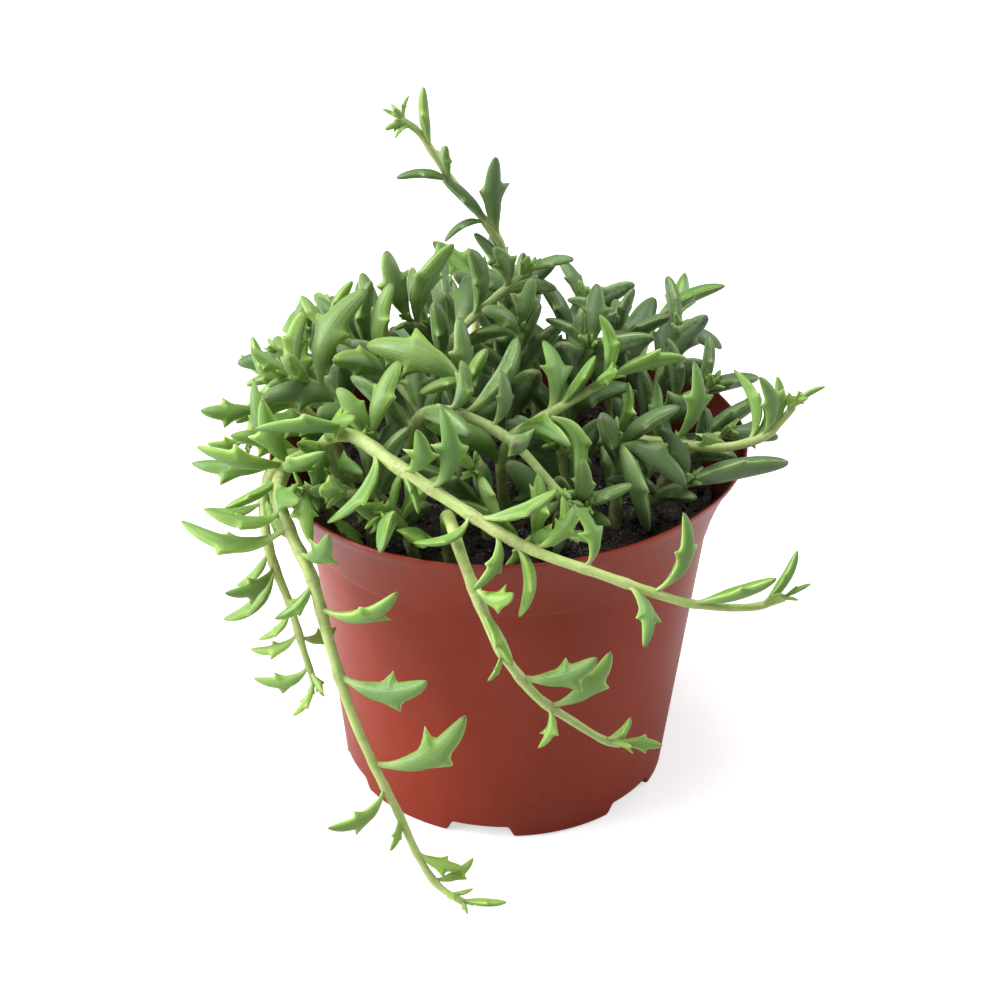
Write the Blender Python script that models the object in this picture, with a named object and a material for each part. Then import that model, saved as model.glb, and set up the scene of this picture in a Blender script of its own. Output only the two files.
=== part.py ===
"""Potted trailing senecio: a thin plastic nursery pot, its soil and the leafy stems that root in it.

Metres, +Z up, origin on the pot's axis at the underside of its floor, the front towards -Y.
Lengths below are in millimetres and become metres when a mesh is made.
"""

import math
import random
from typing import NamedTuple

import bmesh
import bpy
import numpy as np

MM = 0.001

# Pot: a thin tapered wall, a flared collar above a shallow step, and a floor with raised drain pockets
POT_HEIGHT = 94.0
RIM_RADIUS = 60.0
STEP_HEIGHT = 73.6
STEP_RADIUS = 51.4
STEP_OUT = 0.6
FOOT_RADIUS = 43.0
WALL = 1.0
FOOT_ROUND = 0.8
TAPER = (STEP_RADIUS - FOOT_RADIUS) / (STEP_HEIGHT - FOOT_ROUND)
COLLAR_BULGE = 0.9
RIM_OVAL = 0.045
OVAL_START = 0.6
RIM_OVAL_ANGLE = math.radians(36.0)
POCKETS = 6
POCKET_ANGLE = math.radians(-98.0)
POCKET_RISE = 3.2
POCKET_START = 29.0
POCKET_SLOPE = 2.5
POCKET_COLUMNS = (-12.5, -9.5, 0.0, 9.5, 12.5, 24.0, 36.0)
POCKET_HALF = 10.0
DRAIN_RADIUS = 2.6
DRAIN_SIDES = 8

# Soil: it fills the pot to a little below the rim and is heaped and crumbly on top
SOIL_GAP = 0.4
SOIL_SIDES = 22
SOIL_TOP = 80.0
SOIL_HEAP = 2.5
SOIL_WAVES = 1.4
SOIL_RINGS = (43.0, 29.0, 15.0)
ROOT_DEPTH = 7.0
HOLE_GAP = 0.6
HOLE_LENGTH = 20.0
HOLE_SIDES = 5

# Stems and leaves
STEM_SIDES = 5
OLD_STEM_SIDES = 4
STEM_SLACK = 0.55
STEM_THINNING = 1.3
STEM_END = 0.45
STEM_ROUND = 0.8
CROSS_HINT = (0.3, 0.9, 0.1)
LEAF_SIDES = 4
LEAF_WIDTH = 0.142
LEAF_THICK = 0.108
PETIOLE = 0.25
PETIOLE_LEAST = 0.5
SWELL_START = 0.02
TIP_POWER = 2.6
SWELL_END = 0.46
ALONG_STEM = 0.7
UPWARD = 0.22
GUIDE_REACH = 0.52
LEAST_BEND = 0.05
SIDE_HINT = (0.2, 0.3, 1.0)
LEAF_ROLL = (20.0, 80.0)
VIEW = np.array((0.0, 0.86, -0.51))
FIN_STATION = 0.58
FIN_BEFORE = 0.47
FIN_AFTER = 0.7
FIN_LEAST = 0.06
FIN_MOST = 0.13
FIN_HOOK = 0.6
SHARP_ANGLE = math.radians(35.0)
LEAF_STATIONS = (0.0, 0.4, FIN_STATION, 0.74, 1.0)
SMALL_LEAF_STATIONS = (0.0, 0.44, FIN_STATION, 1.0)

# Leaves that grow by rule: where each sits, how far it turns from the last one, and its length
DIVERGENCE = math.radians(137.5)
TURN_DRAW = 0.4
LAST_LEAF = 0.97
SHARE_DRAW = 0.02
RULE_ALONG = 0.45
RULE_OUTWARD = 0.3
SHORTEN_FROM = 0.6
SHORTEN_BY = 0.45
LENGTH_DRAW = (0.85, 1.08)

# Room between leaves: a leaf is moved and shortened a little at each try until its balls are clear
CLEAR = 0.45
OWN_SLACK = 0.3
FOOT_SHARE = 0.1
OUTER_SHARE = 0.4
BALL_ENDS = (0.06, 0.985)
BALL_LEAST = 0.5
LEAF_BALLS = 13
FIN_BALLS = (0.4, 0.9, 0.5, 0.5, 0.6, 0.6)
STEM_BALL_STEP = 1.5
TRIES = 56
NUDGE = 0.014
SLIDE = 0.002
SHRINK = 0.008
SHRINK_FROM = 12
FOOT_RANGE = (0.05, 0.99)
SEED = 100


class Stem(NamedTuple):
    """One leafy stem: its route, its thickness and what grows on it.

    leaves are those with a known place, each as its foot and the way to its tip. A seventh number turns
    the leaf: at 0 degrees its broad side faces the front, and at 90 degrees its edge does.
    slim makes the stem's leaves narrower.
    count more leaves grow by rule from the share start of the stem to its tip, up to longest.
    """

    name: str
    route: tuple
    radius: float
    tip_radius: float
    leaves: tuple = ()
    count: int = 0
    start: float = 0.3
    longest: float = 22.0
    lift: float = 0.5
    shade: str = "young"
    fine: bool = True
    slim: float = 1.0


def mound_stem(name, root, tip, leaves=(), count=6, longest=29.0, lift=0.7):
    """A short upright stem of the mound: it rises from its root and leans over towards its tip."""
    rx, ry = root
    tx, ty, tz = tip
    bottom = SOIL_TOP - ROOT_DEPTH + 1.0
    route = (
        (rx, ry, bottom),
        (rx + 0.12 * (tx - rx), ry + 0.12 * (ty - ry), bottom + 0.4 * (tz - bottom)),
        (rx + 0.5 * (tx - rx), ry + 0.5 * (ty - ry), bottom + 0.8 * (tz - bottom)),
        (tx, ty, tz),
    )
    return Stem(name, route, 1.8, 1.1, leaves, count, 0.25, longest, lift, "old", False)


STEMS = (
    Stem(
        "stem_left_trail",
        ((-37, -7, 74), (-48, -19, 99), (-54, -31, 104), (-56, -41, 101), (-52, -48, 94), (-47, -54, 86),
         (-43, -58, 71), (-38, -61, 53), (-32, -64, 38), (-26, -66, 25), (-21, -69, 14), (-16, -71, 6.5),
         (-9, -74, 3.4)),
        1.9, 0.9,
        ((-54, -44, 99, -18, -6, 4, 60), (-53, -46, 96, -26, 2, 0, 55),
         (-45, -57, 80, 19, -9, 11, 60), (-40, -60, 61, 22, -12, 7, 15), (-37, -62, 50, 12, -12, 23, 10),
         (-26, -66, 25, -2, -6, -7), (-21, -69, 15, 12, -1, -4), (-18, -71, 8, 10, 5, 3),
         (-11, -73, 4, 12, -2, 1), (-55, -36, 103, -13, -8, -4), (-48, -54, 86, -9, -4, -9),
         (-50, -24, 102, 12, -14, 12), (-53, -29, 104, -6, -6, 21), (-55, -34, 103, 10, -16, 2),
         (-54, -31, 104, -22, -2, 6), (-43, -13, 90, 6, -20, 8)),
        count=2, start=0.2, longest=22, slim=0.9,
    ),
    Stem(
        "stem_left_short_trail",
        ((-42, -4, 74), (-52, -16, 98), (-58, -27, 101), (-60, -35, 95), (-58, -43, 86), (-53, -49, 75),
         (-50, -52, 65), (-47, -54, 55)),
        1.7, 0.8,
        ((-60, -34, 96, -14, -3, -1), (-57, -45, 83, -13, -1, -15), (-55, -47, 79, -9, -2, -7),
         (-51, -51, 68, -12, 1, -6), (-49, -53, 60, -14, 3, -6), (-47, -54, 56, -5, -4, -8),
         (-59, -42, 86, -8, -2, -10), (-52, -16, 98, -17, -8, 10), (-56, -23, 101, -8, 4, 20),
         (-58, -28, 101, -20, -5, 2), (-60, -33, 98, 6, -14, 8)),
        count=3, start=0.35, longest=18, lift=0.3, slim=0.9,
    ),
    Stem(
        "stem_front_trail",
        ((-14, -34, 74), (-15, -45, 97), (-14, -54, 103), (-11, -62, 98), (-6, -66, 86), (-2, -68, 77),
         (2, -68, 70), (8, -68, 62), (16, -67, 55), (24, -65, 48), (29, -64, 46)),
        1.9, 0.9,
        ((-2, -68, 76, -3, -6, -5), (4, -68, 68, 18, -4, 9, 10), (9, -68, 60, 8, -6, 19, 25),
         (24, -65, 48, 6, -3, 9), (27, -65, 47, 12, 2, -2), (-7, -66, 88, 8, -8, -12)),
        count=2, start=0.3, longest=16, slim=0.9,
    ),
    Stem(
        "stem_front_right_trail",
        ((-32, -18, 74), (-41, -25, 96), (-45, -31, 110), (-38, -37, 116), (-26, -47, 113), (-14, -55, 109),
         (-2, -61, 104), (8, -65, 101), (19, -67, 98), (31, -68, 94), (43, -68, 90), (57, -66, 88),
         (66, -64, 90)),
        2.0, 0.9,
        ((-42, -33, 116, -21, -5, 4), (-32, -43, 115, -11, -11, -14), (-28, -46, 114, 6, -8, -9),
         (-19, -52, 111, 2, 2, 21), (-10, -57, 107, -13, -5, -5), (-8, -58, 107, 19, -4, 11),
         (-3, -61, 105, -5, -9, -11), (1, -62, 103, 2, -4, -19), (6, -64, 103, 10, 8, 8),
         (18, -67, 99, -3, 7, 13), (34, -68, 93, 6, 2, 21, 55), (43, -68, 90, 19, -4, 10, 75),
         (59, -66, 89, 8, 4, 13, 70), (65, -64, 90, 7, 2, 3, 80), (-43, -28, 101, -13, -10, 13),
         (-44, -30, 107, 8, -12, 16), (-40, -24, 94, 8, -16, 8)),
        count=2, start=0.2, longest=20, slim=0.86,
    ),
    Stem(
        "stem_right",
        ((14, 0, 74), (17, -9, 96), (25, -15, 104), (38, -18, 105), (52, -20, 105), (62, -20, 108),
         (67, -18, 112), (70, -17, 116)),
        1.8, 0.9,
        ((32, -16, 105, 5, 8, 12), (39, -18, 105, 5, 6, 20), (59, -20, 107, -4, 10, 15),
         (62, -20, 108, -2, -2, 18), (64, -20, 110, 1, 5, 13), (69, -17, 115, 8, 2, 5)),
        count=3, start=0.3, longest=20, slim=0.84,
    ),
    Stem(
        "stem_top_left",
        ((-22, 0, 74), (-22, -3, 100), (-18, -3, 118), (-12, 0, 127), (-4, 5, 133), (4, 8, 139)),
        1.7, 0.9,
        ((3, 8, 138, 12, -2, 5), (-2, 6, 135, -3, -3, 13)),
        count=5, start=0.35, longest=26,
        shade="old",
    ),
    Stem(
        "stem_top",
        ((6, 20, 74), (7, 18, 100), (3, 13, 122), (0, 10, 134), (-3, 10, 144), (-7, 10, 151),
         (-15, 10, 161), (-20, 10, 169), (-24, 10, 175), (-29, 9, 179)),
        1.6, 0.8,
        ((0, 10, 134, -9, -4, 18, 50), (2, 11, 130, 6, 2, 10, 60), (-3, 10, 143, -12, -7, -3, 70),
         (-6, 10, 149, -12, -4, 15, 65), (-4, 10, 146, -1, -3, 24, 20), (-15, 10, 161, -14, -6, 4, 75),
         (-21, 10, 170, -2, -1, 17, 80), (-26, 9, 177, -6, -1, 4, 80), (-25, 9, 176, -4, -5, -1, 60),
         (-27, 9, 178, 1, 2, 6)),
        count=2, start=0.3, longest=20,
        shade="old",
        slim=0.72,
    ),
    Stem(
        "stem_centre_over",
        ((-24, -12, 74), (-25, -21, 102), (-22, -27, 116), (-16, -31, 120), (-7, -33, 118), (1, -36, 114),
         (8, -40, 108), (13, -43, 103)),
        1.8, 1.0,
        ((-15, -31, 120, 3, -4, 16), (12, -43, 104, 8, -6, -5), (-5, -34, 117, 2, 5, 13)),
        count=5, start=0.3, longest=25,
        shade="old",
    ),
    Stem(
        "stem_centre_right",
        ((0, -12, 74), (-2, -19, 96), (0, -23, 108), (7, -22, 113), (16, -18, 117), (24, -15, 121)),
        1.8, 1.1,
        ((12, -20, 115, 9, 4, 13), (22, -16, 120, -1, 2, 18), (23, -15, 121, 20, 7, 3),
         (8, -22, 113, 8, -12, -14)),
        count=4, start=0.3, longest=25,
    ),
    Stem(
        "stem_left",
        ((-36, 4, 74), (-49, -1, 99), (-58, -6, 109), (-63, -12, 109), (-65, -18, 104)),
        1.8, 1.0,
        ((-62, -11, 109, -14, -8, 3), (-65, -18, 104, -10, -4, 0), (-57, -6, 108, -8, 5, 15)),
        count=7, start=0.25, longest=23,
    ),
    Stem(
        "stem_right_low",
        ((31, -10, 74), (34, -17, 86), (38, -23, 93), (44, -26, 98)),
        2.0, 1.4,
        ((40, -25, 95, 29, 4, 7, 72), (44, -26, 98, 3, 10, 14), (36, -21, 90, 10, -11, 7)),
        count=1, start=0.5, longest=22,
        shade="old",
    ),
    mound_stem(
        "stem_mound_01", (-20, 13), (-46, 6, 121),
        ((-44, 6, 119, 4, 4, 14), (-46, 6, 120, -8, 6, 8)),
    ),
    mound_stem(
        "stem_mound_02", (-10, 22), (-26, 12, 122),
        ((-24, 13, 119, 9, 1, 23), (-26, 12, 122, -3, 3, 20)),
    ),
    mound_stem(
        "stem_mound_03", (-28, -4), (-56, -11, 118),
        ((-55, -11, 117, -10, -2, 9), (-49, -9, 111, 11, 8, 24), (-53, -10, 115, 1, 7, 16)),
    ),
    mound_stem("stem_mound_04", (-24, -27), (-40, -42, 103), ((-39, -41, 102, -20, -6, 1),)),
    mound_stem("stem_mound_05", (-5, -26), (-8, -39, 108), ((-8, -39, 107, 6, -10, -9),)),
    mound_stem("stem_mound_06", (10, -26), (18, -42, 100), longest=25),
    mound_stem(
        "stem_mound_07", (-12, -6), (-11, -18, 120),
        ((-11, -18, 119, -25, 8, 7), (-11, -17, 117, 5, -5, 14)),
    ),
    mound_stem("stem_mound_08", (14, 10), (20, 2, 121), ((19, 3, 119, -11, 2, 8), (20, 2, 121, 1, 6, 15))),
    mound_stem(
        "stem_mound_09", (27, -17), (26, -25, 110),
        ((24, -21, 110, 8, -10, -20), (23, -20, 107, 17, -8, -6)),
    ),
    mound_stem("stem_mound_10", (31, 6), (42, 2, 94), count=6, longest=20),
    mound_stem(
        "stem_mound_11", (28, 20), (27, 21, 117),
        ((28, 21, 113, 4, 2, 14), (27, 21, 116, -13, 3, 7), (27, 21, 117, -3, 3, 13)),
    ),
    mound_stem("stem_mound_12", (14, 34), (20, 46, 112), longest=26),
    mound_stem("stem_mound_13", (-12, 38), (-18, 50, 112), longest=26),
    mound_stem("stem_mound_14", (-30, 22), (-46, 30, 114)),
    mound_stem("stem_mound_15", (0, 6), (2, 1, 126), ((1, 2, 124, -16, 1, 3), (2, 1, 126, 3, 2, 14))),
    mound_stem(
        "stem_mound_16", (-14, -17), (-33, -5, 119),
        ((-32, -6, 118, 2, 5, 21), (-30, -8, 115, -14, -8, 10)),
    ),
    mound_stem("stem_mound_17", (-4, 30), (-2, 32, 124)),
    mound_stem(
        "stem_mound_18", (-34, -26), (-34, -31, 112),
        ((-34, -31, 111, 7, 6, 19), (-34, -31, 110, -7, -2, 14)),
    ),
    mound_stem("stem_mound_19", (34, 14), (51, 9, 106), count=6, longest=26),
    mound_stem("stem_mound_20", (38, -2), (54, -6, 101), count=5, longest=24),
    mound_stem("stem_mound_21", (37, 26), (44, 33, 110), count=6, longest=26),
    mound_stem("stem_mound_22", (5, 39), (2, 53, 112), count=6, longest=26),
    mound_stem("stem_mound_23", (-36, 12), (-60, 12, 112), count=6, longest=26),
    mound_stem("stem_mound_24", (15, -16), (12, -20, 104), count=5, longest=26),
    Stem(
        "stem_left_low",
        ((-41, -22, 74), (-44, -28, 88), (-47, -35, 99), (-50, -42, 104)),
        1.7, 1.0, count=7, start=0.25, longest=25, lift=0.4,
    ),
    Stem(
        "stem_front_left_low",
        ((-22, -34, 74), (-24, -39, 87), (-27, -44, 97), (-30, -49, 101)),
        1.7, 1.0, count=7, start=0.3, longest=25, lift=0.5,
    ),
    Stem(
        "stem_front_low",
        ((2, -36, 74), (4, -41, 87), (8, -47, 95), (13, -51, 98)),
        1.7, 1.0, count=6, start=0.3, longest=22, lift=0.4,
    ),
    Stem(
        "stem_back_trail",
        ((-2, 42, 74), (-4, 52, 96), (-7, 62, 103), (-9, 69, 98), (-10, 72, 86), (-8, 72, 72), (-3, 71, 60)),
        1.9, 1.0, count=6, start=0.25, longest=22, lift=0.25, fine=False,
    ),
    Stem(
        "stem_back_right_trail",
        ((28, 32, 74), (34, 41, 96), (38, 50, 103), (42, 57, 99), (44, 61, 88), (43, 62, 76), (40, 62, 66)),
        1.9, 1.0, count=6, start=0.25, longest=22, lift=0.25, fine=False,
    ),
    Stem(
        "stem_back_left_trail",
        ((-38, 18, 74), (-46, 26, 97), (-54, 33, 104), (-60, 37, 98), (-61, 42, 86), (-58, 46, 76)),
        1.9, 1.0, count=6, start=0.25, longest=22, lift=0.25, fine=False,
    ),
)


def unit(v):
    """The vector at length one."""
    return v / max(np.linalg.norm(v), 1e-9)


def smoothstep(low, high, x):
    """Zero below low, one above high, and an S-shaped rise between them."""
    t = np.clip((np.asarray(x, float) - low) / (high - low), 0.0, 1.0)
    return t * t * (3.0 - 2.0 * t)


# Pot


def pot_profile():
    """The outer and the inner half section of the pot as (radius, height) points, foot to rim."""
    collar = 0.45
    middle = (
        STEP_RADIUS + STEP_OUT + collar * (RIM_RADIUS - STEP_RADIUS - STEP_OUT) - COLLAR_BULGE,
        STEP_HEIGHT + collar * (POT_HEIGHT - STEP_HEIGHT),
    )
    outer = [
        (FOOT_RADIUS, FOOT_ROUND),
        (STEP_RADIUS, STEP_HEIGHT),
        (STEP_RADIUS + STEP_OUT, STEP_HEIGHT + STEP_OUT),
        middle,
        (RIM_RADIUS, POT_HEIGHT - WALL / 3),
        (RIM_RADIUS - WALL / 4, POT_HEIGHT),
    ]
    inner = [
        (FOOT_RADIUS - WALL, WALL + FOOT_ROUND),
        (STEP_RADIUS - WALL, STEP_HEIGHT),
        (STEP_RADIUS + STEP_OUT - WALL, STEP_HEIGHT + STEP_OUT),
        (middle[0] - WALL, middle[1]),
        (RIM_RADIUS - WALL, POT_HEIGHT),
    ]
    return outer, inner


def oval(angle, height):
    """How far the thin collar is out of round at this angle, as a factor on the radius."""
    share = smoothstep(STEP_HEIGHT * OVAL_START, POT_HEIGHT, height)
    return 1.0 + RIM_OVAL * share * np.cos(2.0 * (angle - RIM_OVAL_ANGLE))


def wall_at(section, height):
    """The round radius of the outer or the inner half section at a height."""
    return np.interp(height, [z for r, z in section], [r for r, z in section])


def wall_radius(section, angle, height):
    """The radius of the outer or the inner wall surface at an angle and a height."""
    return wall_at(section, height) * oval(angle, height)


def column_angles():
    """The angles of the pot's columns of points, closer together at the sides of a drain pocket."""
    turn = 360.0 / POCKETS
    return [POCKET_ANGLE + math.radians(k * turn + c) for k in range(POCKETS) for c in POCKET_COLUMNS]


def pocket_lift(column, radius):
    """How far the floor is raised at a column and radius, by the drain pocket that it lies in."""
    across = POCKET_COLUMNS[column % len(POCKET_COLUMNS)]
    if abs(across) > POCKET_HALF:
        return 0.0
    return POCKET_RISE * float(smoothstep(POCKET_START, POCKET_START + POCKET_SLOPE, radius))


def turned_shell(name, section, angles):
    """A closed shape turned from (radius, height, lift or not) points, its first and last on the axis."""
    mesh = bmesh.new()
    rings = []
    for radius, height, lifted in section[1:-1]:
        ring = []
        for column, angle in enumerate(angles):
            lift = pocket_lift(column, radius) if lifted else 0.0
            z = height + lift
            r = (radius + TAPER * lift) * oval(angle, z)
            ring.append(mesh.verts.new((r * math.cos(angle) * MM, r * math.sin(angle) * MM, z * MM)))
        rings.append(ring)
    poles = [mesh.verts.new((0.0, 0.0, section[k][1] * MM)) for k in (0, -1)]
    count = len(angles)
    for low, high in zip(rings, rings[1:]):
        for k in range(count):
            n = (k + 1) % count
            mesh.faces.new((low[k], low[n], high[n], high[k]))
    for k in range(count):
        n = (k + 1) % count
        mesh.faces.new((poles[0], rings[0][n], rings[0][k]))
        mesh.faces.new((poles[1], rings[-1][k], rings[-1][n]))
    bmesh.ops.recalc_face_normals(mesh, faces=mesh.faces)
    return finish_mesh(name, mesh)


def build_pot():
    """The pot: one thin shell of wall, collar and floor, with a drain hole in each raised pocket."""
    outer, inner = pot_profile()
    section = [(0.0, 0.0, False), (POCKET_START, 0.0, True), (POCKET_START + POCKET_SLOPE, 0.0, True)]
    section += [(FOOT_RADIUS - FOOT_ROUND, 0.0, True), (*outer[0], True)]
    section += [(r, z, False) for r, z in outer[1:]]
    section += [(r, z, False) for r, z in reversed(inner[1:])]
    section += [(*inner[0], True), (FOOT_RADIUS - WALL - FOOT_ROUND, WALL, True)]
    section += [(POCKET_START + POCKET_SLOPE, WALL, True), (POCKET_START, WALL, True), (0.0, WALL, False)]
    pot = turned_shell("pot", section, column_angles())
    for k in range(POCKETS):
        angle = POCKET_ANGLE + k * 2.0 * math.pi / POCKETS
        radius = (POCKET_START + POCKET_SLOPE + FOOT_RADIUS) / 2.0
        centre = np.array((radius * math.cos(angle), radius * math.sin(angle), POCKET_RISE))
        cut(pot, prism(centre, centre + (0, 0, 2 * WALL + 1), DRAIN_RADIUS, DRAIN_SIDES, below=2.0))
    return pot


# Soil


def soil_height(x, y):
    """The soil's surface: heaped in the middle, with slow waves as of watered peat."""
    far = np.hypot(x, y) / STEP_RADIUS
    waves = np.sin(0.23 * x + 1.1) * np.cos(0.19 * y - 0.4) + 0.6 * np.sin(0.31 * y + 0.17 * x)
    return SOIL_TOP + SOIL_HEAP * (1.0 - far**2) + SOIL_WAVES * waves / 1.6


def build_soil():
    """The soil: it fills the pot, with a plain hole for the foot of each stem."""
    inner = pot_profile()[1]
    base = WALL + SOIL_GAP
    low = base + POCKET_RISE
    side = FOOT_RADIUS - WALL - SOIL_GAP
    section = [(0.0, base, False), (POCKET_START - 3.0, base, False), (POCKET_START, low, False)]
    section += [(side - FOOT_ROUND, low, False)]
    section += [(wall_at(inner, z) - SOIL_GAP, z, False) for z in (low + FOOT_ROUND, STEP_HEIGHT)]
    section += [(wall_at(inner, SOIL_TOP - SOIL_WAVES) - SOIL_GAP, SOIL_TOP, False)]
    section += [(r, SOIL_TOP, False) for r in SOIL_RINGS] + [(0.0, SOIL_TOP, False)]
    soil = turned_shell("soil", section, [2.0 * math.pi * k / SOIL_SIDES for k in range(SOIL_SIDES)])
    for vertex in soil.data.vertices:
        if vertex.co.z > (SOIL_TOP - 0.1) * MM:
            vertex.co.z = soil_height(vertex.co.x / MM, vertex.co.y / MM) * MM
    return soil


# Stems


def smooth_route(points, steps=8):
    """A smooth curve through the points of a route, as an array of close points."""
    p = np.array(points, float)
    p = np.vstack([2 * p[0] - p[1], p, 2 * p[-1] - p[-2]])
    t = np.linspace(0.0, 1.0, steps, endpoint=False)[:, None]
    spans = [
        0.5 * (2 * b + (c - a) * t + (2 * a - 5 * b + 4 * c - d) * t**2 + (3 * b - a - 3 * c + d) * t**3)
        for a, b, c, d in zip(p, p[1:], p[2:], p[3:])
    ]
    return np.vstack([*spans, p[-2:-1]])


class Line:
    """A smooth curve that can be asked for its place and direction at a share of its length."""

    def __init__(self, points):
        self.points = points
        steps = np.linalg.norm(np.diff(points, axis=0), axis=1)
        self.along = np.concatenate([[0.0], np.cumsum(steps)])
        self.length = self.along[-1]

    def at(self, share):
        """The place at each share of the length."""
        wanted = np.clip(share, 0.0, 1.0) * self.length
        return np.stack([np.interp(wanted, self.along, self.points[:, k]) for k in range(3)], -1)

    def nearest(self, place):
        """The share of the length at which the curve passes nearest to a place."""
        off = np.linalg.norm(self.points - np.asarray(place, float), axis=1)
        return self.along[off.argmin()] / self.length

    def way(self, share):
        """The direction at each share of the length."""
        ahead = self.at(np.asarray(share) + 0.01) - self.at(np.asarray(share) - 0.01)
        return ahead / np.linalg.norm(ahead, axis=-1, keepdims=True)


def frames(line, shares):
    """Two directions across the line at each share, turned as little as possible along it."""
    ways = line.way(shares)
    first = np.cross(ways[0], CROSS_HINT)
    across = [unit(first)]
    for way in ways[1:]:
        across.append(unit(across[-1] - np.dot(across[-1], way) * way))
    across = np.array(across)
    return across, np.cross(ways, across)


def bends(line, slack, low=0, high=None):
    """The numbers of the fewest points of a line between which it strays by slack at the most."""
    high = len(line.points) - 1 if high is None else high
    start, end = line.points[low], line.points[high]
    way = unit(end - start)
    off = line.points[low : high + 1] - start
    strays = np.linalg.norm(off - (off @ way)[:, None] * way, axis=1)
    worst = int(strays.argmax())
    if strays[worst] < slack or high - low < 2:
        return [low]
    return bends(line, slack, low, low + worst) + bends(line, slack, low + worst, high)


def tube(line, radius, tip_radius, sides, slack):
    """Points and faces of a closed tube along a line, thinner towards its rounded tip."""
    shares = np.concatenate([line.along[bends(line, slack)] / line.length, [1.0, 1.0]])
    u, v = frames(line, shares)
    radii = radius + (tip_radius - radius) * shares**STEM_THINNING
    radii[-1] *= STEM_END
    centres = line.at(shares)
    centres[-1] += line.way(1.0) * tip_radius * STEM_ROUND
    turn = np.arange(sides) * 2.0 * math.pi / sides
    ring = np.cos(turn)[:, None] * u[:, None, :] + np.sin(turn)[:, None] * v[:, None, :]
    return loft(centres[:, None, :] + ring * radii[:, None, None])


def loft(rings, tip=None):
    """Points and faces of a closed skin over rings of points, with flat ends or a pointed tip."""
    count, sides = rings.shape[:2]
    points = [tuple(p) for ring in rings for p in ring]
    faces = [tuple(reversed(range(sides)))]
    for k in range(count - 1):
        for s in range(sides):
            n = (s + 1) % sides
            faces.append((k * sides + s, k * sides + n, (k + 1) * sides + n, (k + 1) * sides + s))
    last = (count - 1) * sides
    if tip is None:
        faces.append(tuple(range(last, last + sides)))
    else:
        points.append(tuple(tip))
        faces += [(last + s, last + (s + 1) % sides, len(points) - 1) for s in range(sides)]
    return points, faces


# Leaves


class Leaf(NamedTuple):
    """A leaf's base, middle guide and tip, the way across it, and its length and fin sizes."""

    base: np.ndarray
    guide: np.ndarray
    tip: np.ndarray
    side: np.ndarray
    length: float
    left_fin: float
    right_fin: float
    slim: float


def leaf_spine(leaf, s):
    """The leaf's middle line and its direction at shares s: one bend from the base to the tip."""
    s = np.asarray(s, float)[:, None]
    place = (1 - s) ** 2 * leaf.base + 2 * s * (1 - s) * leaf.guide + s**2 * leaf.tip
    way = 2 * (1 - s) * (leaf.guide - leaf.base) + 2 * s * (leaf.tip - leaf.guide)
    return place, way / np.linalg.norm(way, axis=1, keepdims=True)


def leaf_half_width(leaf, s):
    """Half the leaf's width: a thin stalk that swells past the middle and narrows to the point."""
    full = leaf.length * LEAF_WIDTH * leaf.slim
    swell = PETIOLE + (1.0 - PETIOLE) * smoothstep(SWELL_START, SWELL_END, s)
    swell = np.maximum(full * swell, PETIOLE_LEAST)
    point = np.sqrt(np.clip(1.0 - np.clip((np.asarray(s) - 0.5) / 0.5, 0.0, 1.0) ** TIP_POWER, 0.0, 1.0))
    return swell * point


def leaf_frame(leaf, s):
    """The leaf's middle line at shares s, its direction, the way across it and its half width."""
    place, way = leaf_spine(leaf, s)
    across = leaf.side - (way @ leaf.side)[:, None] * way
    across /= np.linalg.norm(across, axis=1, keepdims=True)
    return place, way, across, leaf_half_width(leaf, s)


def leaf_shape(leaf, stations, sides=LEAF_SIDES):
    """Points and faces of a leaf: rings round its spine, with a fin drawn out on each edge."""
    s = np.array(stations[:-1])
    place, way, across, wide = leaf_frame(leaf, s)
    upper = np.cross(across, way)
    thick = wide * LEAF_THICK / LEAF_WIDTH
    rings = []
    for k, share in enumerate(s):
        ring = []
        for angle in leaf_angles(sides):
            c, z = math.cos(angle), math.sin(angle)
            point = place[k] + across[k] * c * wide[k] + upper[k] * z * thick[k]
            if share == FIN_STATION and abs(c) > 0.99:
                fin = leaf.right_fin if c > 0 else leaf.left_fin
                point = point + across[k] * c * fin + way[k] * FIN_HOOK * fin
            ring.append(point)
        rings.append(ring)
    return loft(np.array(rings), leaf.tip)


def leaf_angles(sides):
    """The angles round a leaf: its right edge, its keel on top, its left edge and its belly."""
    return [2.0 * math.pi * k / sides for k in range(sides)]


def leaf_balls(leaf):
    """Balls that fill the leaf, as centres and radii, to test what it touches."""
    s = np.linspace(*BALL_ENDS, LEAF_BALLS)
    place, way = leaf_spine(leaf, s)
    radii = np.maximum(leaf_half_width(leaf, s), BALL_LEAST)
    middle, ahead, across, half = leaf_frame(leaf, [FIN_BEFORE, FIN_STATION, FIN_AFTER])
    fins = []
    for sign, fin in ((1, leaf.right_fin), (-1, leaf.left_fin)):
        before, root, after = middle + sign * across * half[:, None]
        peak = root + sign * across[1] * fin + ahead[1] * FIN_HOOK * fin
        fins += [peak, (root + peak) / 2, (before + 2 * peak) / 3, (after + 2 * peak) / 3]
        fins += [(2 * before + peak) / 3, (2 * after + peak) / 3]
    shares = np.concatenate([s, [FIN_STATION] * len(fins)])
    return np.vstack([place, fins]), np.concatenate([radii, FIN_BALLS, FIN_BALLS]), shares


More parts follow.
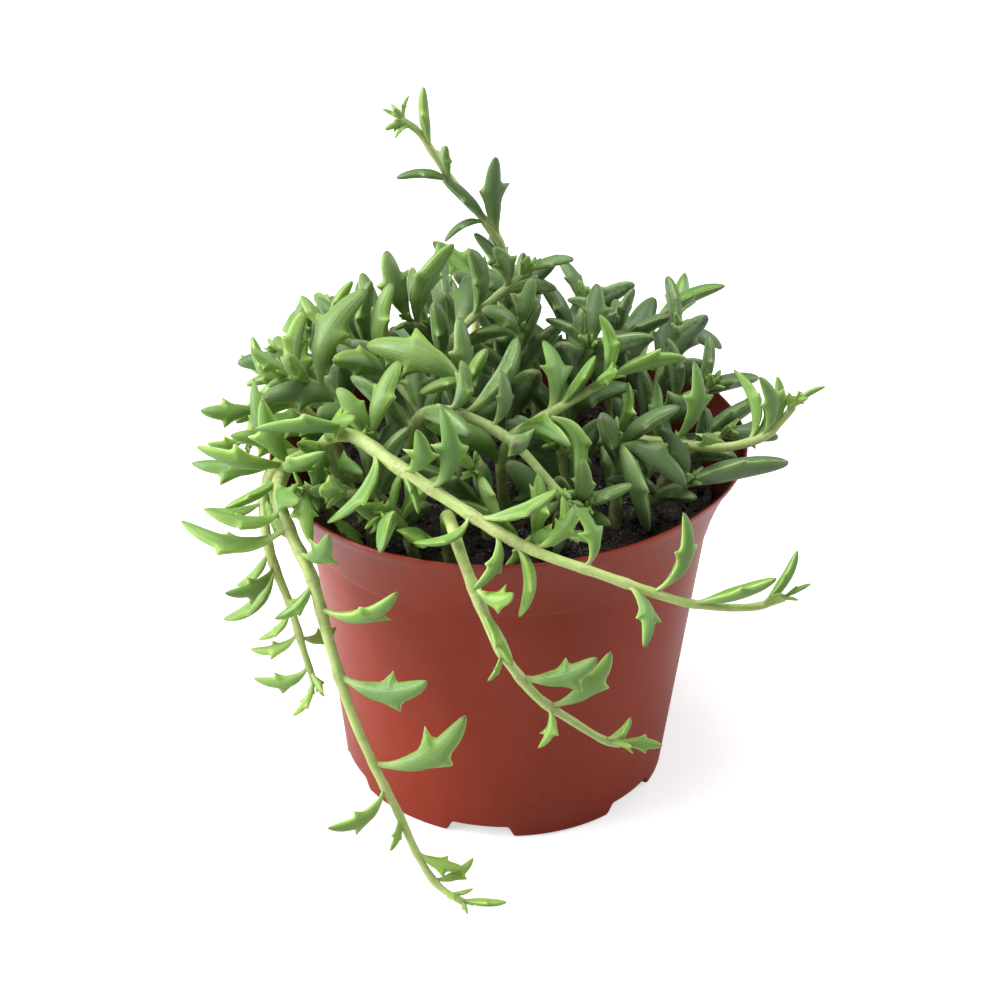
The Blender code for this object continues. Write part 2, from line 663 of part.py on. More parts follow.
def make_leaf(line, share, reach, draw, slim=1.0, turn=None):
    """A leaf from a stem's middle line, with its tip at reach from there.

    It sets out leaning along the stem and upwards and curves over to its tip. draw gives its roll, unless
    turn does, and its fins.
    """
    base = line.at(share)
    stem_way = line.way(share)
    reach = np.asarray(reach, float)
    length = np.linalg.norm(reach)
    out = unit(unit(reach) + ALONG_STEM * stem_way + UPWARD * np.array((0.0, 0.0, 1.0)))
    guide = base + out * length * GUIDE_REACH
    tip = base + reach
    chord = unit(tip - base)
    bend = np.cross(out, chord)
    side = unit(bend) if np.linalg.norm(bend) > LEAST_BEND else unit(np.cross(chord, SIDE_HINT))
    roll = math.radians(draw.uniform(*LEAF_ROLL)) * draw.choice((-1, 1))
    if turn is not None:
        side, roll = unit(np.cross(chord, VIEW)), math.radians(turn)
    side = math.cos(roll) * side + math.sin(roll) * np.cross(chord, side)
    way = unit(2 * (1 - FIN_STATION) * (guide - base) + 2 * FIN_STATION * (tip - guide))
    side = unit(side - np.dot(side, way) * way)
    fins = [length * draw.uniform(FIN_LEAST, FIN_MOST) for side_number in range(2)]
    return Leaf(base, guide, tip, side, length, fins[0], fins[1], slim)


class Room:
    """What is already placed: balls of stems and leaves, and the pot, the soil and the floor."""

    def __init__(self):
        self.places = np.zeros((0, 3))
        self.radii = np.zeros(0)
        self.owners = np.zeros(0, int)
        self.shares = np.zeros(0)
        self.outer, self.inner = pot_profile()

    def add(self, places, radii, owner, shares):
        """Takes in the balls of a stem or a leaf of the stem numbered owner."""
        self.places = np.vstack([self.places, places])
        self.radii = np.concatenate([self.radii, radii])
        self.owners = np.concatenate([self.owners, np.full(len(radii), owner)])
        self.shares = np.concatenate([self.shares, shares])

    def pot_clearance(self, places, radii):
        """The smallest gap from each ball to the pot's wall, the soil and the floor below."""
        x, y, z = places.T
        angle = np.arctan2(y, x)
        far = np.hypot(x, y)
        height = np.clip(z, 0.0, POT_HEIGHT)
        outer = wall_radius(self.outer, angle, height)
        inner = wall_radius(self.inner, angle, height)
        sideways = np.maximum(far - outer, inner - far)
        above = np.maximum(z - POT_HEIGHT, 0.0)
        wall = np.hypot(np.maximum(sideways, 0.0), above) + np.minimum(sideways, 0.0) * (above == 0)
        soil = np.where(far < inner, z - soil_height(x, y), np.inf)
        return np.minimum.reduce([wall, soil, z]) - radii

    def clearance(self, places, radii, shares, owner):
        """The smallest gap between a leaf's balls and everything placed, its own foot left out."""
        gap = self.pot_clearance(places, radii)[shares > FOOT_SHARE].min()
        apart = np.linalg.norm(self.places[None] - places[:, None], axis=2)
        near = apart - self.radii[None] - radii[:, None]
        own = self.owners == owner
        gap = min(gap, near[:, ~own].min(initial=np.inf))
        outer_own = own & (self.shares > OUTER_SHARE)
        mine = near[shares > OUTER_SHARE][:, outer_own].min(initial=np.inf)
        return min(gap, mine + OWN_SLACK)


def rule_reach(stem, line, index, draw):
    """Where leaf number index of a stem grows by rule, and the way to its tip."""
    share = stem.start + (LAST_LEAF - stem.start) * (index + 0.5) / stem.count
    share += draw.uniform(-SHARE_DRAW, SHARE_DRAW)
    way = line.way(share)
    u = unit(np.cross(way, CROSS_HINT))
    v = np.cross(way, u)
    turn = index * DIVERGENCE + draw.uniform(-TURN_DRAW, TURN_DRAW)
    out = math.cos(turn) * u + math.sin(turn) * v
    outward = line.at(share) * (1.0, 1.0, 0.0)
    lift = stem.lift * np.array((0.0, 0.0, 1.0))
    direction = unit(out + RULE_ALONG * way + lift + RULE_OUTWARD * unit(outward))
    near_tip = SHORTEN_BY * max(0.0, share - SHORTEN_FROM) / (1.0 - SHORTEN_FROM)
    length = stem.longest * (1.0 - near_tip) * draw.uniform(*LENGTH_DRAW)
    return share, direction * length


def place_leaf(room, owner, line, share, reach, draw, slim, turn=None):
    """The leaf at a share of a stem, led aside and shortened little by little until it is clear."""
    for attempt in range(TRIES):
        aside = np.array([draw.gauss(0.0, 1.0) for k in range(3)]) * NUDGE * attempt
        shrink = 1.0 - SHRINK * max(0, attempt - SHRINK_FROM)
        length = np.linalg.norm(reach) * shrink
        where = float(np.clip(share + draw.gauss(0.0, SLIDE) * attempt, *FOOT_RANGE))
        leaf = make_leaf(line, where, unit(unit(reach) + aside) * length, draw, slim, turn)
        places, radii, shares = leaf_balls(leaf)
        if room.clearance(places, radii, shares, owner) > CLEAR:
            room.add(places, radii, owner, shares)
            return leaf
    return None


def stem_balls(stem, line):
    """Balls along a stem, as centres, radii and the share that lets its own leaves grow from it."""
    count = int(line.length / STEM_BALL_STEP)
    shares = np.linspace(0.0, 1.0, count)
    radii = stem.radius + (stem.tip_radius - stem.radius) * shares**STEM_THINNING
    return line.at(shares), radii, np.zeros(count)


def lay_out():
    """All stems and their leaves, in order: (stem, line, leaves)."""
    room = Room()
    lines = [Line(smooth_route(stem.route)) for stem in STEMS]
    for owner, (stem, line) in enumerate(zip(STEMS, lines)):
        places, radii, shares = stem_balls(stem, line)
        room.add(places, radii, owner, shares)
    grown = [[] for stem in STEMS]
    draws = [random.Random(SEED + owner) for owner in range(len(STEMS))]
    for owner, (stem, line) in enumerate(zip(STEMS, lines)):
        for leaf in stem.leaves:
            share, reach = line.nearest(leaf[:3]), np.array(leaf[3:6], float)
            turn = leaf[6] if len(leaf) > 6 else None
            grown[owner].append(place_leaf(room, owner, line, share, reach, draws[owner], stem.slim, turn))
    for index in range(max(stem.count for stem in STEMS)):
        for owner, (stem, line) in enumerate(zip(STEMS, lines)):
            if index < stem.count:
                share, reach = rule_reach(stem, line, index, draws[owner])
                grown[owner].append(place_leaf(room, owner, line, share, reach, draws[owner], stem.slim))
    return [(s, line, [leaf for leaf in g if leaf]) for s, line, g in zip(STEMS, lines, grown)]


# Meshes, materials and Booleans


def finish_mesh(name, mesh):
    """Makes an object of a bmesh, smooth but for its edges."""
    data = bpy.data.meshes.new(name)
    mesh.to_mesh(data)
    mesh.free()
    data.shade_smooth()
    data.set_sharp_from_angle(angle=SHARP_ANGLE)
    made = bpy.data.objects.new(name, data)
    bpy.context.scene.collection.objects.link(made)
    return made


def solid(name, points, faces):
    """An object of points in millimetres and faces."""
    data = bpy.data.meshes.new(name)
    data.from_pydata([tuple(c * MM for c in p) for p in points], [], faces)
    mesh = bmesh.new()
    mesh.from_mesh(data)
    bmesh.ops.recalc_face_normals(mesh, faces=mesh.faces)
    bpy.data.meshes.remove(data)
    return finish_mesh(name, mesh)


def prism(start, end, radius, sides, below=0.0):
    """A straight round cutter from start to end, in millimetres, longer by below at its start."""
    start, end = np.array(start, float), np.array(end, float)
    start = start - unit(end - start) * below
    line = Line(np.array([start, end]))
    u, v = frames(line, np.array([0.0, 1.0]))
    turn = np.arange(sides) * 2.0 * math.pi / sides
    ring = np.cos(turn)[:, None] * u[:, None, :] + np.sin(turn)[:, None] * v[:, None, :]
    return solid("cutter", *loft(line.at(np.array([0.0, 1.0]))[:, None, :] + ring * radius))


def apply_modifiers(target):
    """Replaces an object's mesh by its evaluated one."""
    graph = bpy.context.evaluated_depsgraph_get()
    graph.update()
    done = bpy.data.meshes.new_from_object(target.evaluated_get(graph))
    target.modifiers.clear()
    old = target.data
    target.data = done
    bpy.data.meshes.remove(old)


def drop_scraps(target):
    """Keeps an object's largest piece, without the slivers that a Boolean leaves on it."""
    mesh = bmesh.new()
    mesh.from_mesh(target.data)
    bmesh.ops.triangulate(mesh, faces=mesh.faces)
    left = set(mesh.faces)
    pieces = []
    while left:
        edge = [left.pop()]
        piece = []
        while edge:
            face = edge.pop()
            piece.append(face)
            whole = [side for side in face.edges if len(side.link_faces) == 2]
            fresh = {other for side in whole for other in side.link_faces} & left
            left -= fresh
            edge += fresh
        pieces.append(piece)
    pieces.sort(key=len)
    bmesh.ops.delete(mesh, geom=[face for piece in pieces[:-1] for face in piece], context="FACES")
    mesh.to_mesh(target.data)
    mesh.free()


def cut(target, cutter):
    """Takes a cutter out of an object."""
    boolean = target.modifiers.new("cut", "BOOLEAN")
    boolean.operation = "DIFFERENCE"
    boolean.object = cutter
    apply_modifiers(target)
    bpy.data.objects.remove(cutter)


def union_all(target, others):
    """Joins a stem and its leaves in one body."""
    group = bpy.data.collections.new("joined")
    bpy.context.scene.collection.children.link(group)
    for other in others:
        bpy.context.scene.collection.objects.unlink(other)
        group.objects.link(other)
    boolean = target.modifiers.new("join", "BOOLEAN")
    boolean.operation = "UNION"
    boolean.operand_type = "COLLECTION"
    boolean.collection = group
    apply_modifiers(target)
    drop_scraps(target)
    for other in others:
        bpy.data.objects.remove(other)
    bpy.data.collections.remove(group)


def finish_material(name, colour, roughness):
    """A plain material of one colour."""
    material = bpy.data.materials.new(name)
    material.use_nodes = True
    shader = material.node_tree.nodes["Principled BSDF"]
    shader.inputs["Base Color"].default_value = (*colour, 1.0)
    shader.inputs["Roughness"].default_value = roughness
    shader.inputs["Metallic"].default_value = 0.0
    return material


def main():
    """Builds the pot, the soil and every leafy stem."""
    for old in list(bpy.data.objects):
        bpy.data.objects.remove(old)
    plastic = finish_material("pot_plastic", (0.42, 0.11, 0.07), 0.38)
    peat = finish_material("peat", (0.035, 0.022, 0.016), 0.95)
    leafage = {
        "young": finish_material("young_leaf", (0.22, 0.42, 0.13), 0.45),
        "old": finish_material("old_leaf", (0.12, 0.24, 0.12), 0.5),
    }
    pot = build_pot()
    pot.data.materials.append(plastic)
    soil = build_soil()
    for stem, line, leaves in lay_out():
        sides = STEM_SIDES if stem.fine else OLD_STEM_SIDES
        stations = LEAF_STATIONS if stem.fine else SMALL_LEAF_STATIONS
        body = solid(stem.name, *tube(line, stem.radius, stem.tip_radius, sides, STEM_SLACK))
        blades = [solid("leaf", *leaf_shape(leaf, stations)) for leaf in leaves]
        union_all(body, blades)
        body.data.materials.append(leafage[stem.shade])
        foot, rise = line.at(0.0), line.way(0.02)
        hole = prism(foot - rise * HOLE_GAP, foot + rise * HOLE_LENGTH, stem.radius + HOLE_GAP, HOLE_SIDES)
        cut(soil, hole)
    drop_scraps(soil)
    soil.data.materials.append(peat)


main()
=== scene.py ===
"""Looks of a potted trailing senecio: its thin plastic nursery pot, its peat and its leafy stems.

Shapes are worked out in millimetres in the part's own frame, with the origin on the pot's axis at the
underside of its floor, +Z up and the front towards -Y. They become metres where a mesh is made.
"""

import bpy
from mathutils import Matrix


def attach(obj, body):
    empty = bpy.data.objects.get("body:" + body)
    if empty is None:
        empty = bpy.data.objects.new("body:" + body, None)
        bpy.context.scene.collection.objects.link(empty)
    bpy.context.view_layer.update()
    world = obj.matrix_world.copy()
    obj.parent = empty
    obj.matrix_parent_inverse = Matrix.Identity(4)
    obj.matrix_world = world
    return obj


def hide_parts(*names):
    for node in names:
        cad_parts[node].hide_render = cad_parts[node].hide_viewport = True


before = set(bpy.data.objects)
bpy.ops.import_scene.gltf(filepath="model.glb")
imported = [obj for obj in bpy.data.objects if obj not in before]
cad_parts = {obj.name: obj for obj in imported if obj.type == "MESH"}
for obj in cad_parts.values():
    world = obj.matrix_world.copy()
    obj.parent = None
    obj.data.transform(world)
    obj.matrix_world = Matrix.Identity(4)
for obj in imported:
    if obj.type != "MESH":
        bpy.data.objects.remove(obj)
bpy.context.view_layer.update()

import logging
import math
import random
from dataclasses import dataclass, field, replace
from enum import Enum

import bpy
import numpy as np
from mathutils import Matrix

MM = 0.001
LOG = logging.getLogger("senecio")

Array = np.ndarray
Colour = tuple[float, float, float]
Place = tuple[float, ...]
Span = tuple[float, float]
Band = tuple[float, ...]
Socket = bpy.types.NodeSocket
Feed = Socket | float | tuple[float, ...]

WHITE = (1.0, 1.0, 1.0)
UP = np.array((0.0, 0.0, 1.0))
RUMBLE_TURNS = (0.35, 1.0)
CROSS_HINT = (0.3, 0.9, 0.1)
SLOPE_STEP = 0.01


class Slot(Enum):
    """The material slots."""

    PLASTIC = "pot_plastic"
    PEAT = "peat"
    YOUNG = "young_leaf"
    OLD = "old_leaf"


class Effect(Enum):
    """The surface effects that several finishes share."""

    MOTTLE = "mottle"
    GRAIN = "fine_grain"
    DUST = "settled_dust"


# Small sums on directions and shares


def unit(v: Array) -> Array:
    """The vector at length one."""
    return v / max(np.linalg.norm(v), 1e-9)


def smoothstep(low: float, high: float, x: Array | float) -> Array:
    """Zero below low, one above high, and an S-shaped rise between them.

    Args:
        low: Where the rise starts.
        high: Where it ends.
        x: The values to look up.

    Returns:
        t * t * (3 - 2 t), with t the share of the way from low to high.
    """
    t = np.clip((np.asarray(x, float) - low) / (high - low), 0.0, 1.0)
    return t * t * (3.0 - 2.0 * t)


def around(count: int) -> Array:
    """The angles of count points spread evenly round a circle."""
    return np.arange(count) * 2.0 * math.pi / count


def turned(radius: Array | float, angle: Array, height: Array | float) -> Array:
    """Points round the axis: radius * cosine and radius * sine of the angle, and the height."""
    radius, angle, height = np.broadcast_arrays(radius, angle, height)
    return np.stack([radius * np.cos(angle), radius * np.sin(angle), height], -1)


def spokes(count: int, across: Array, above: Array) -> Array:
    """Directions at count even turns round a line: cosine * across + sine * above, as (..., count, 3)."""
    turn = around(count)[:, None]
    return np.cos(turn) * across[..., None, :] + np.sin(turn) * above[..., None, :]


def beside(way: Array, turn: float) -> Array:
    """The direction at right angles to a way that is turned round it by an angle."""
    across = unit(np.cross(way, CROSS_HINT))
    return math.cos(turn) * across + math.sin(turn) * np.cross(way, across)


def rumble(place: Array, size: float, seed: int, waves: int = 24) -> Array:
    """A slow random height over places: the mean of waves plane waves of random direction and phase.

    Args:
        place: Points, as (..., 2) or (..., 3).
        size: The shortest wavelength, in the units of place.
        seed: Which pattern.
        waves: How many waves are added up.

    Returns:
        The height at each point, with a spread of about one.
    """
    draw = np.random.default_rng(seed)
    ways = draw.normal(size=(waves, place.shape[-1]))
    lengths = np.linalg.norm(ways, axis=1, keepdims=True)
    ways *= (2.0 * math.pi / size) * draw.uniform(*RUMBLE_TURNS, (waves, 1)) / lengths
    return np.sin(place @ ways.T + draw.uniform(0, 2 * math.pi, waves)).sum(-1) / math.sqrt(waves / 2.0)


# Meshes from arrays


@dataclass
class Skin:
    """Points, faces and point values of one piece, gathered tube by tube as whole arrays."""

    points: list[Array] = field(default_factory=list)
    quads: list[Array] = field(default_factory=list)
    tris: list[Array] = field(default_factory=list)
    values: dict[str, list[Array]] = field(default_factory=dict)
    count: int = 0

    def add_tubes(
        self, grid: Array, start: Array, end: Array, values: dict[str, Array | float], flip: bool = False
    ) -> None:
        """Takes in closed skins, each a stack of rings with a pole at either end.

        The face between ring k and ring k + 1 joins point s with point s + 1, and each pole makes a fan.

        Args:
            grid: Ring points in millimetres, as (tubes, rings, sides, 3).
            start: The pole before the first ring of each tube, as (tubes, 3).
            end: The pole after the last ring of each tube, as (tubes, 3).
            values: A number for each ring point under each name, to be spread over (tubes, rings, sides).
            flip: Whether the rings run clockwise seen from the end, so that faces are wound the other way.
        """
        tubes, rings, sides = grid.shape[:3]
        size = rings * sides + 2
        points = np.concatenate([grid.reshape(tubes, -1, 3), start[:, None], end[:, None]], 1)
        k, s = np.meshgrid(np.arange(rings - 1), np.arange(sides), indexing="ij")
        n = (s + 1) % sides
        low, high = k * sides, (k + 1) * sides
        quads = np.stack([low + s, low + n, high + n, high + s], -1).reshape(-1, 4)
        side, following, last = np.arange(sides), (np.arange(sides) + 1) % sides, (rings - 1) * sides
        first_fan = np.stack([np.full(sides, size - 2), following, side], -1)
        last_fan = np.stack([last + side, last + following, np.full(sides, size - 1)], -1)
        tris = np.concatenate([first_fan, last_fan])
        if flip:
            quads, tris = quads[:, ::-1], tris[:, ::-1]
        shift = self.count + (np.arange(tubes) * size)[:, None, None]
        self.points.append(points.reshape(-1, 3))
        self.quads.append((quads + shift).reshape(-1, 4))
        self.tris.append((tris + shift).reshape(-1, 3))
        self.count += tubes * size
        for name, value in values.items():
            full = np.broadcast_to(value, (tubes, rings, sides))
            poles = [full[:, 0].mean(1)[:, None], full[:, -1].mean(1)[:, None]]
            spread = np.concatenate([full.reshape(tubes, -1), *poles], 1).reshape(-1)
            self.values.setdefault(name, []).append(spread)

    def piece(self, name: str) -> bpy.types.Object:
        """Makes the smooth-shaded object, with each value as an attribute of its points.

        Args:
            name: The object's name.

        Returns:
            The new object, at the origin.
        """
        points = np.concatenate(self.points) * MM
        quads, tris = np.concatenate(self.quads), np.concatenate(self.tris)
        corners = np.concatenate([quads.reshape(-1), tris.reshape(-1)])
        sizes = np.concatenate([np.full(len(quads), 4), np.full(len(tris), 3)])
        mesh = bpy.data.meshes.new(name)
        mesh.vertices.add(len(points))
        mesh.vertices.foreach_set("co", points.astype(np.float32).reshape(-1))
        mesh.loops.add(len(corners))
        mesh.loops.foreach_set("vertex_index", corners.astype(np.int32))
        mesh.polygons.add(len(sizes))
        mesh.polygons.foreach_set("loop_start", (np.cumsum(sizes) - sizes).astype(np.int32))
        mesh.update(calc_edges=True)
        mesh.validate()
        mesh.shade_smooth()
        for key, parts in self.values.items():
            layer = mesh.attributes.new(key, "FLOAT", "POINT")
            layer.data.foreach_set("value", np.concatenate(parts).astype(np.float32))
        made = bpy.data.objects.new(name, mesh)
        bpy.context.scene.collection.objects.link(made)
        return made


def settle(piece: bpy.types.Object, nodes: tuple[str, ...]) -> None:
    """Lets a finished piece stand for CAD nodes and ride on the body.

    Args:
        piece: The piece.
        nodes: The CAD nodes that it stands for.
    """
    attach(piece, "root")
    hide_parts(*nodes)
    faces = len(piece.data.polygons)
    LOG.info("%s: %d faces, stands for %s", piece.name, faces, ", ".join(nodes))


# Shader nodes


class Wiring:
    """Short ways to add and join the nodes of one tree."""

    def __init__(self, tree: bpy.types.NodeTree) -> None:
        """Keeps the tree whose nodes are wired."""
        self.tree = tree

    def node(self, kind: str, **settings: str | bpy.types.NodeTree) -> bpy.types.Node:
        """Adds a node.

        Args:
            kind: Its type name.
            **settings: Its properties.

        Returns:
            The node.
        """
        made = self.tree.nodes.new(kind)
        for key, value in settings.items():
            setattr(made, key, value)
        return made

    def feed(self, socket: Socket, value: Feed) -> None:
        """Links a socket to a value that is a socket, or else sets it.

        Args:
            socket: The input.
            value: An output socket, a number, a colour or a vector.
        """
        if isinstance(value, Socket):
            self.tree.links.new(value, socket)
        elif isinstance(value, tuple) and socket.type == "RGBA":
            socket.default_value = (*value, 1.0)
        else:
            socket.default_value = value

    def math(self, operation: str, first: Feed, second: Feed) -> Socket:
        """A sum on numbers.

        Args:
            operation: Its name.
            first: The first number or socket.
            second: The second.

        Returns:
            The result's socket.
        """
        made = self.node("ShaderNodeMath", operation=operation)
        self.feed(made.inputs[0], first)
        self.feed(made.inputs[1], second)
        return made.outputs[0]

    def plus(self, first: Feed, second: Feed) -> Socket:
        """The sum of two numbers."""
        return self.math("ADD", first, second)

    def times(self, first: Feed, second: Feed) -> Socket:
        """The product of two numbers."""
        return self.math("MULTIPLY", first, second)

    def blend(self, first: Feed, first_part: float, second: Feed, second_part: float) -> Socket:
        """The sum of a part of one number and a part of another."""
        return self.plus(self.times(first, first_part), self.times(second, second_part))

    def fade(self, value: Feed, low: float, high: float, most: float = 1.0) -> Socket:
        """A smooth rise from 0 to most as a value goes from low to high.

        Args:
            value: The number that is looked up.
            low: Where the rise starts.
            high: Where it ends. It may be below low, and then the result falls.
            most: The result at high.

        Returns:
            The result's socket.
        """
        made = self.node("ShaderNodeMapRange", interpolation_type="SMOOTHSTEP")
        ends = (low, high, 0.0, most) if low < high else (high, low, most, 0.0)
        self.feed(made.inputs["Value"], value)
        for key, end in zip(("From Min", "From Max", "To Min", "To Max"), ends):
            made.inputs[key].default_value = end
        return made.outputs["Result"]

    def mix(self, share: Feed, first: Feed, second: Feed) -> Socket:
        """A colour between two.

        Args:
            share: How much of the second.
            first: The first colour.
            second: The second colour.

        Returns:
            The colour's socket.
        """
        made = self.node("ShaderNodeMix", data_type="RGBA")
        self.feed(made.inputs["Factor"], share)
        self.feed(next(s for s in made.inputs if s.name == "A" and s.type == "RGBA"), first)
        self.feed(next(s for s in made.inputs if s.name == "B" and s.type == "RGBA"), second)
        return next(s for s in made.outputs if s.type == "RGBA")

    def value(self, name: str) -> Socket:
        """The number that the mesh keeps under a name."""
        return self.node("ShaderNodeAttribute", attribute_name=name).outputs["Fac"]

    def noise(self, place: Feed, scale: Feed, detail: float, roughness: float = 0.5) -> Socket:
        """Cloudy noise from 0 to 1.

        Args:
            place: Where it is read.
            scale: Cells to the metre.
            detail: How many finer layers it has.
            roughness: How strong those are.

        Returns:
            The noise's socket.
        """
        made = self.node("ShaderNodeTexNoise")
        self.feed(made.inputs["Vector"], place)
        self.feed(made.inputs["Scale"], scale)
        made.inputs["Detail"].default_value = detail
        made.inputs["Roughness"].default_value = roughness
        return made.outputs["Fac"]

    def effect(self, effect: Effect, **inputs: Feed) -> Socket:
        """Places a shared effect in this tree.

        Args:
            effect: Which.
            **inputs: Its inputs by name.

        Returns:
            Its one output.
        """
        made = self.node("ShaderNodeGroup", node_tree=shared_effect(effect))
        for key, value in inputs.items():
            self.feed(made.inputs[key], value)
        return made.outputs[0]


def shared_effect(effect: Effect) -> bpy.types.NodeTree:
    """The node group of an effect, built the first time that it is asked for.

    Mottle is two layers of cloudy noise, drawn apart by its contrast. Grain is fine noise with small cells
    in it, as a height. Dust is a mask of loose patches that are broken up by specks.

    Args:
        effect: Which.

    Returns:
        The group.
    """
    known = bpy.data.node_groups.get(effect.value)
    if known:
        return known
    tree = bpy.data.node_groups.new(effect.value, "ShaderNodeTree")
    for name, kind in (("Place", "Vector"), ("Scale", "Float"), ("Amount", "Float")):
        tree.interface.new_socket(name, in_out="INPUT", socket_type="NodeSocket" + kind)
    tree.interface.new_socket("Result", in_out="OUTPUT", socket_type="NodeSocketFloat")
    w = Wiring(tree)
    given, out = w.node("NodeGroupInput"), w.node("NodeGroupOutput")
    place, scale, amount = (given.outputs[k] for k in ("Place", "Scale", "Amount"))
    if effect is Effect.MOTTLE:
        broad = w.noise(place, scale, 2.0)
        close = w.noise(place, w.times(scale, 4.3), 2.0, 0.6)
        drawn = w.times(w.math("SUBTRACT", w.blend(broad, 0.65, close, 0.35), 0.5), amount)
        clamp = w.node("ShaderNodeClamp")
        w.feed(clamp.inputs["Value"], w.plus(drawn, 0.5))
        result = clamp.outputs[0]
    elif effect is Effect.GRAIN:
        cells = w.node("ShaderNodeTexVoronoi", feature="F1")
        w.feed(cells.inputs["Vector"], place)
        w.feed(cells.inputs["Scale"], scale)
        fine = w.noise(place, w.times(scale, 0.6), 2.0, 0.65)
        result = w.plus(w.times(cells.outputs["Distance"], amount), fine)
    else:
        patches = w.fade(w.noise(place, scale, 2.0, 0.6), 0.5, 0.72)
        specks = w.fade(w.noise(place, w.times(scale, 14.0), 1.0), 0.44, 0.62)
        result = w.times(w.times(patches, specks), amount)
    w.feed(out.inputs["Result"], result)
    return tree


def blank_material(name: str) -> tuple[bpy.types.Material, Wiring, bpy.types.Node, Socket]:
    """A new material with a Principled shader.

    Args:
        name: The material's name.

    Returns:
        The material, its wiring, its shader and the Object coordinates.
    """
    material = bpy.data.materials.new(name)
    material.use_nodes = True
    wiring = Wiring(material.node_tree)
    shader = material.node_tree.nodes["Principled BSDF"]
    return material, wiring, shader, wiring.node("ShaderNodeTexCoord").outputs["Object"]


def raise_bump(w: Wiring, shader: bpy.types.Node, height: Socket, strength: float, distance: float) -> None:
    """Feeds the shader's normal from a height.

    Args:
        w: The wiring.
        shader: The Principled shader.
        height: The height's socket.
        strength: How strongly it shows.
        distance: How high it is, in metres.
    """
    bump = w.node("ShaderNodeBump")
    bump.inputs["Strength"].default_value = strength
    bump.inputs["Distance"].default_value = distance
    w.feed(bump.inputs["Height"], height)
    w.feed(shader.inputs["Normal"], bump.outputs["Normal"])


@dataclass(frozen=True)
class PlasticFinish:
    """Thin moulded plastic, a little glossy, with faint flow streaks and settled dust, and painted shade
    inside.
    """

    name: str = "pot_plastic_look"
    deep: Colour = (0.219, 0.0247, 0.0103)
    bright: Colour = (0.273, 0.0355, 0.0157)
    # painted shade: the inner wall's colour, darker than the outside for the shade that falls inside the pot
    inside: Colour = (0.075, 0.0095, 0.005)
    dust: Colour = (0.3, 0.16, 0.12)
    stretch: Place = (1.0, 1.0, 0.16)
    roughness: float = 0.27
    specular: float = 0.17
    relief: Span = (0.25, 0.00025)

    def material(self) -> bpy.types.Material:
        """Builds the material from the shared effects."""
        made, w, shader, place = blank_material(self.name)
        stretched = w.node("ShaderNodeMapping")
        stretched.inputs["Scale"].default_value = self.stretch
        w.feed(stretched.inputs["Vector"], place)
        streaks = w.effect(Effect.MOTTLE, Place=stretched.outputs[0], Scale=70.0, Amount=1.9)
        patches = w.effect(Effect.MOTTLE, Place=place, Scale=28.0, Amount=1.6)
        dust = w.effect(Effect.DUST, Place=place, Scale=60.0, Amount=0.07)
        grain = w.effect(Effect.GRAIN, Place=place, Scale=1500.0, Amount=0.4)
        colour = w.mix(w.times(w.plus(streaks, patches), 0.5), self.deep, self.bright)
        # painted shade: the inner wall, where lining is one, takes the darker inside colour
        colour = w.mix(w.value("lining"), colour, self.inside)
        w.feed(shader.inputs["Base Color"], w.mix(dust, colour, self.dust))
        w.feed(shader.inputs["Roughness"], w.plus(w.blend(patches, 0.12, dust, 0.8), self.roughness))
        raise_bump(w, shader, w.blend(grain, 0.2, streaks, 0.8), *self.relief)
        shader.inputs["Specular IOR Level"].default_value = self.specular
        return made


@dataclass(frozen=True)
class PeatFinish:
    """Damp peat: nearly black crumbs with browner, drier ones among them, and paler root fibres."""

    name: str = "peat_look"
    wet: Colour = (0.008, 0.006, 0.005)
    dry: Colour = (0.036, 0.023, 0.017)
    fibre: Colour = (0.16, 0.085, 0.045)
    roughness: Band = (0.1, 0.8, 0.95)
    relief: Span = (0.8, 0.0006)

    def material(self) -> bpy.types.Material:
        """Builds the material from the shared effects and the fibres' own value."""
        made, w, shader, place = blank_material(self.name)
        patches = w.effect(Effect.MOTTLE, Place=place, Scale=260.0, Amount=2.4)
        share = w.times(w.plus(patches, w.value("tone")), 0.5)
        colour = w.mix(share, self.wet, self.dry)
        colour = w.mix(w.value("fibre"), colour, w.mix(w.value("tone"), self.dry, self.fibre))
        w.feed(shader.inputs["Base Color"], colour)
        w.feed(shader.inputs["Roughness"], w.fade(patches, *self.roughness))
        raise_bump(w, shader, w.effect(Effect.GRAIN, Place=place, Scale=1100.0, Amount=0.9), *self.relief)
        return made


@dataclass(frozen=True)
class Patterns:
    """What the colours of a leaf and a stem read: long streaks, broad mottle and close mottle."""

    creases: Socket
    patches: Socket
    specks: Socket


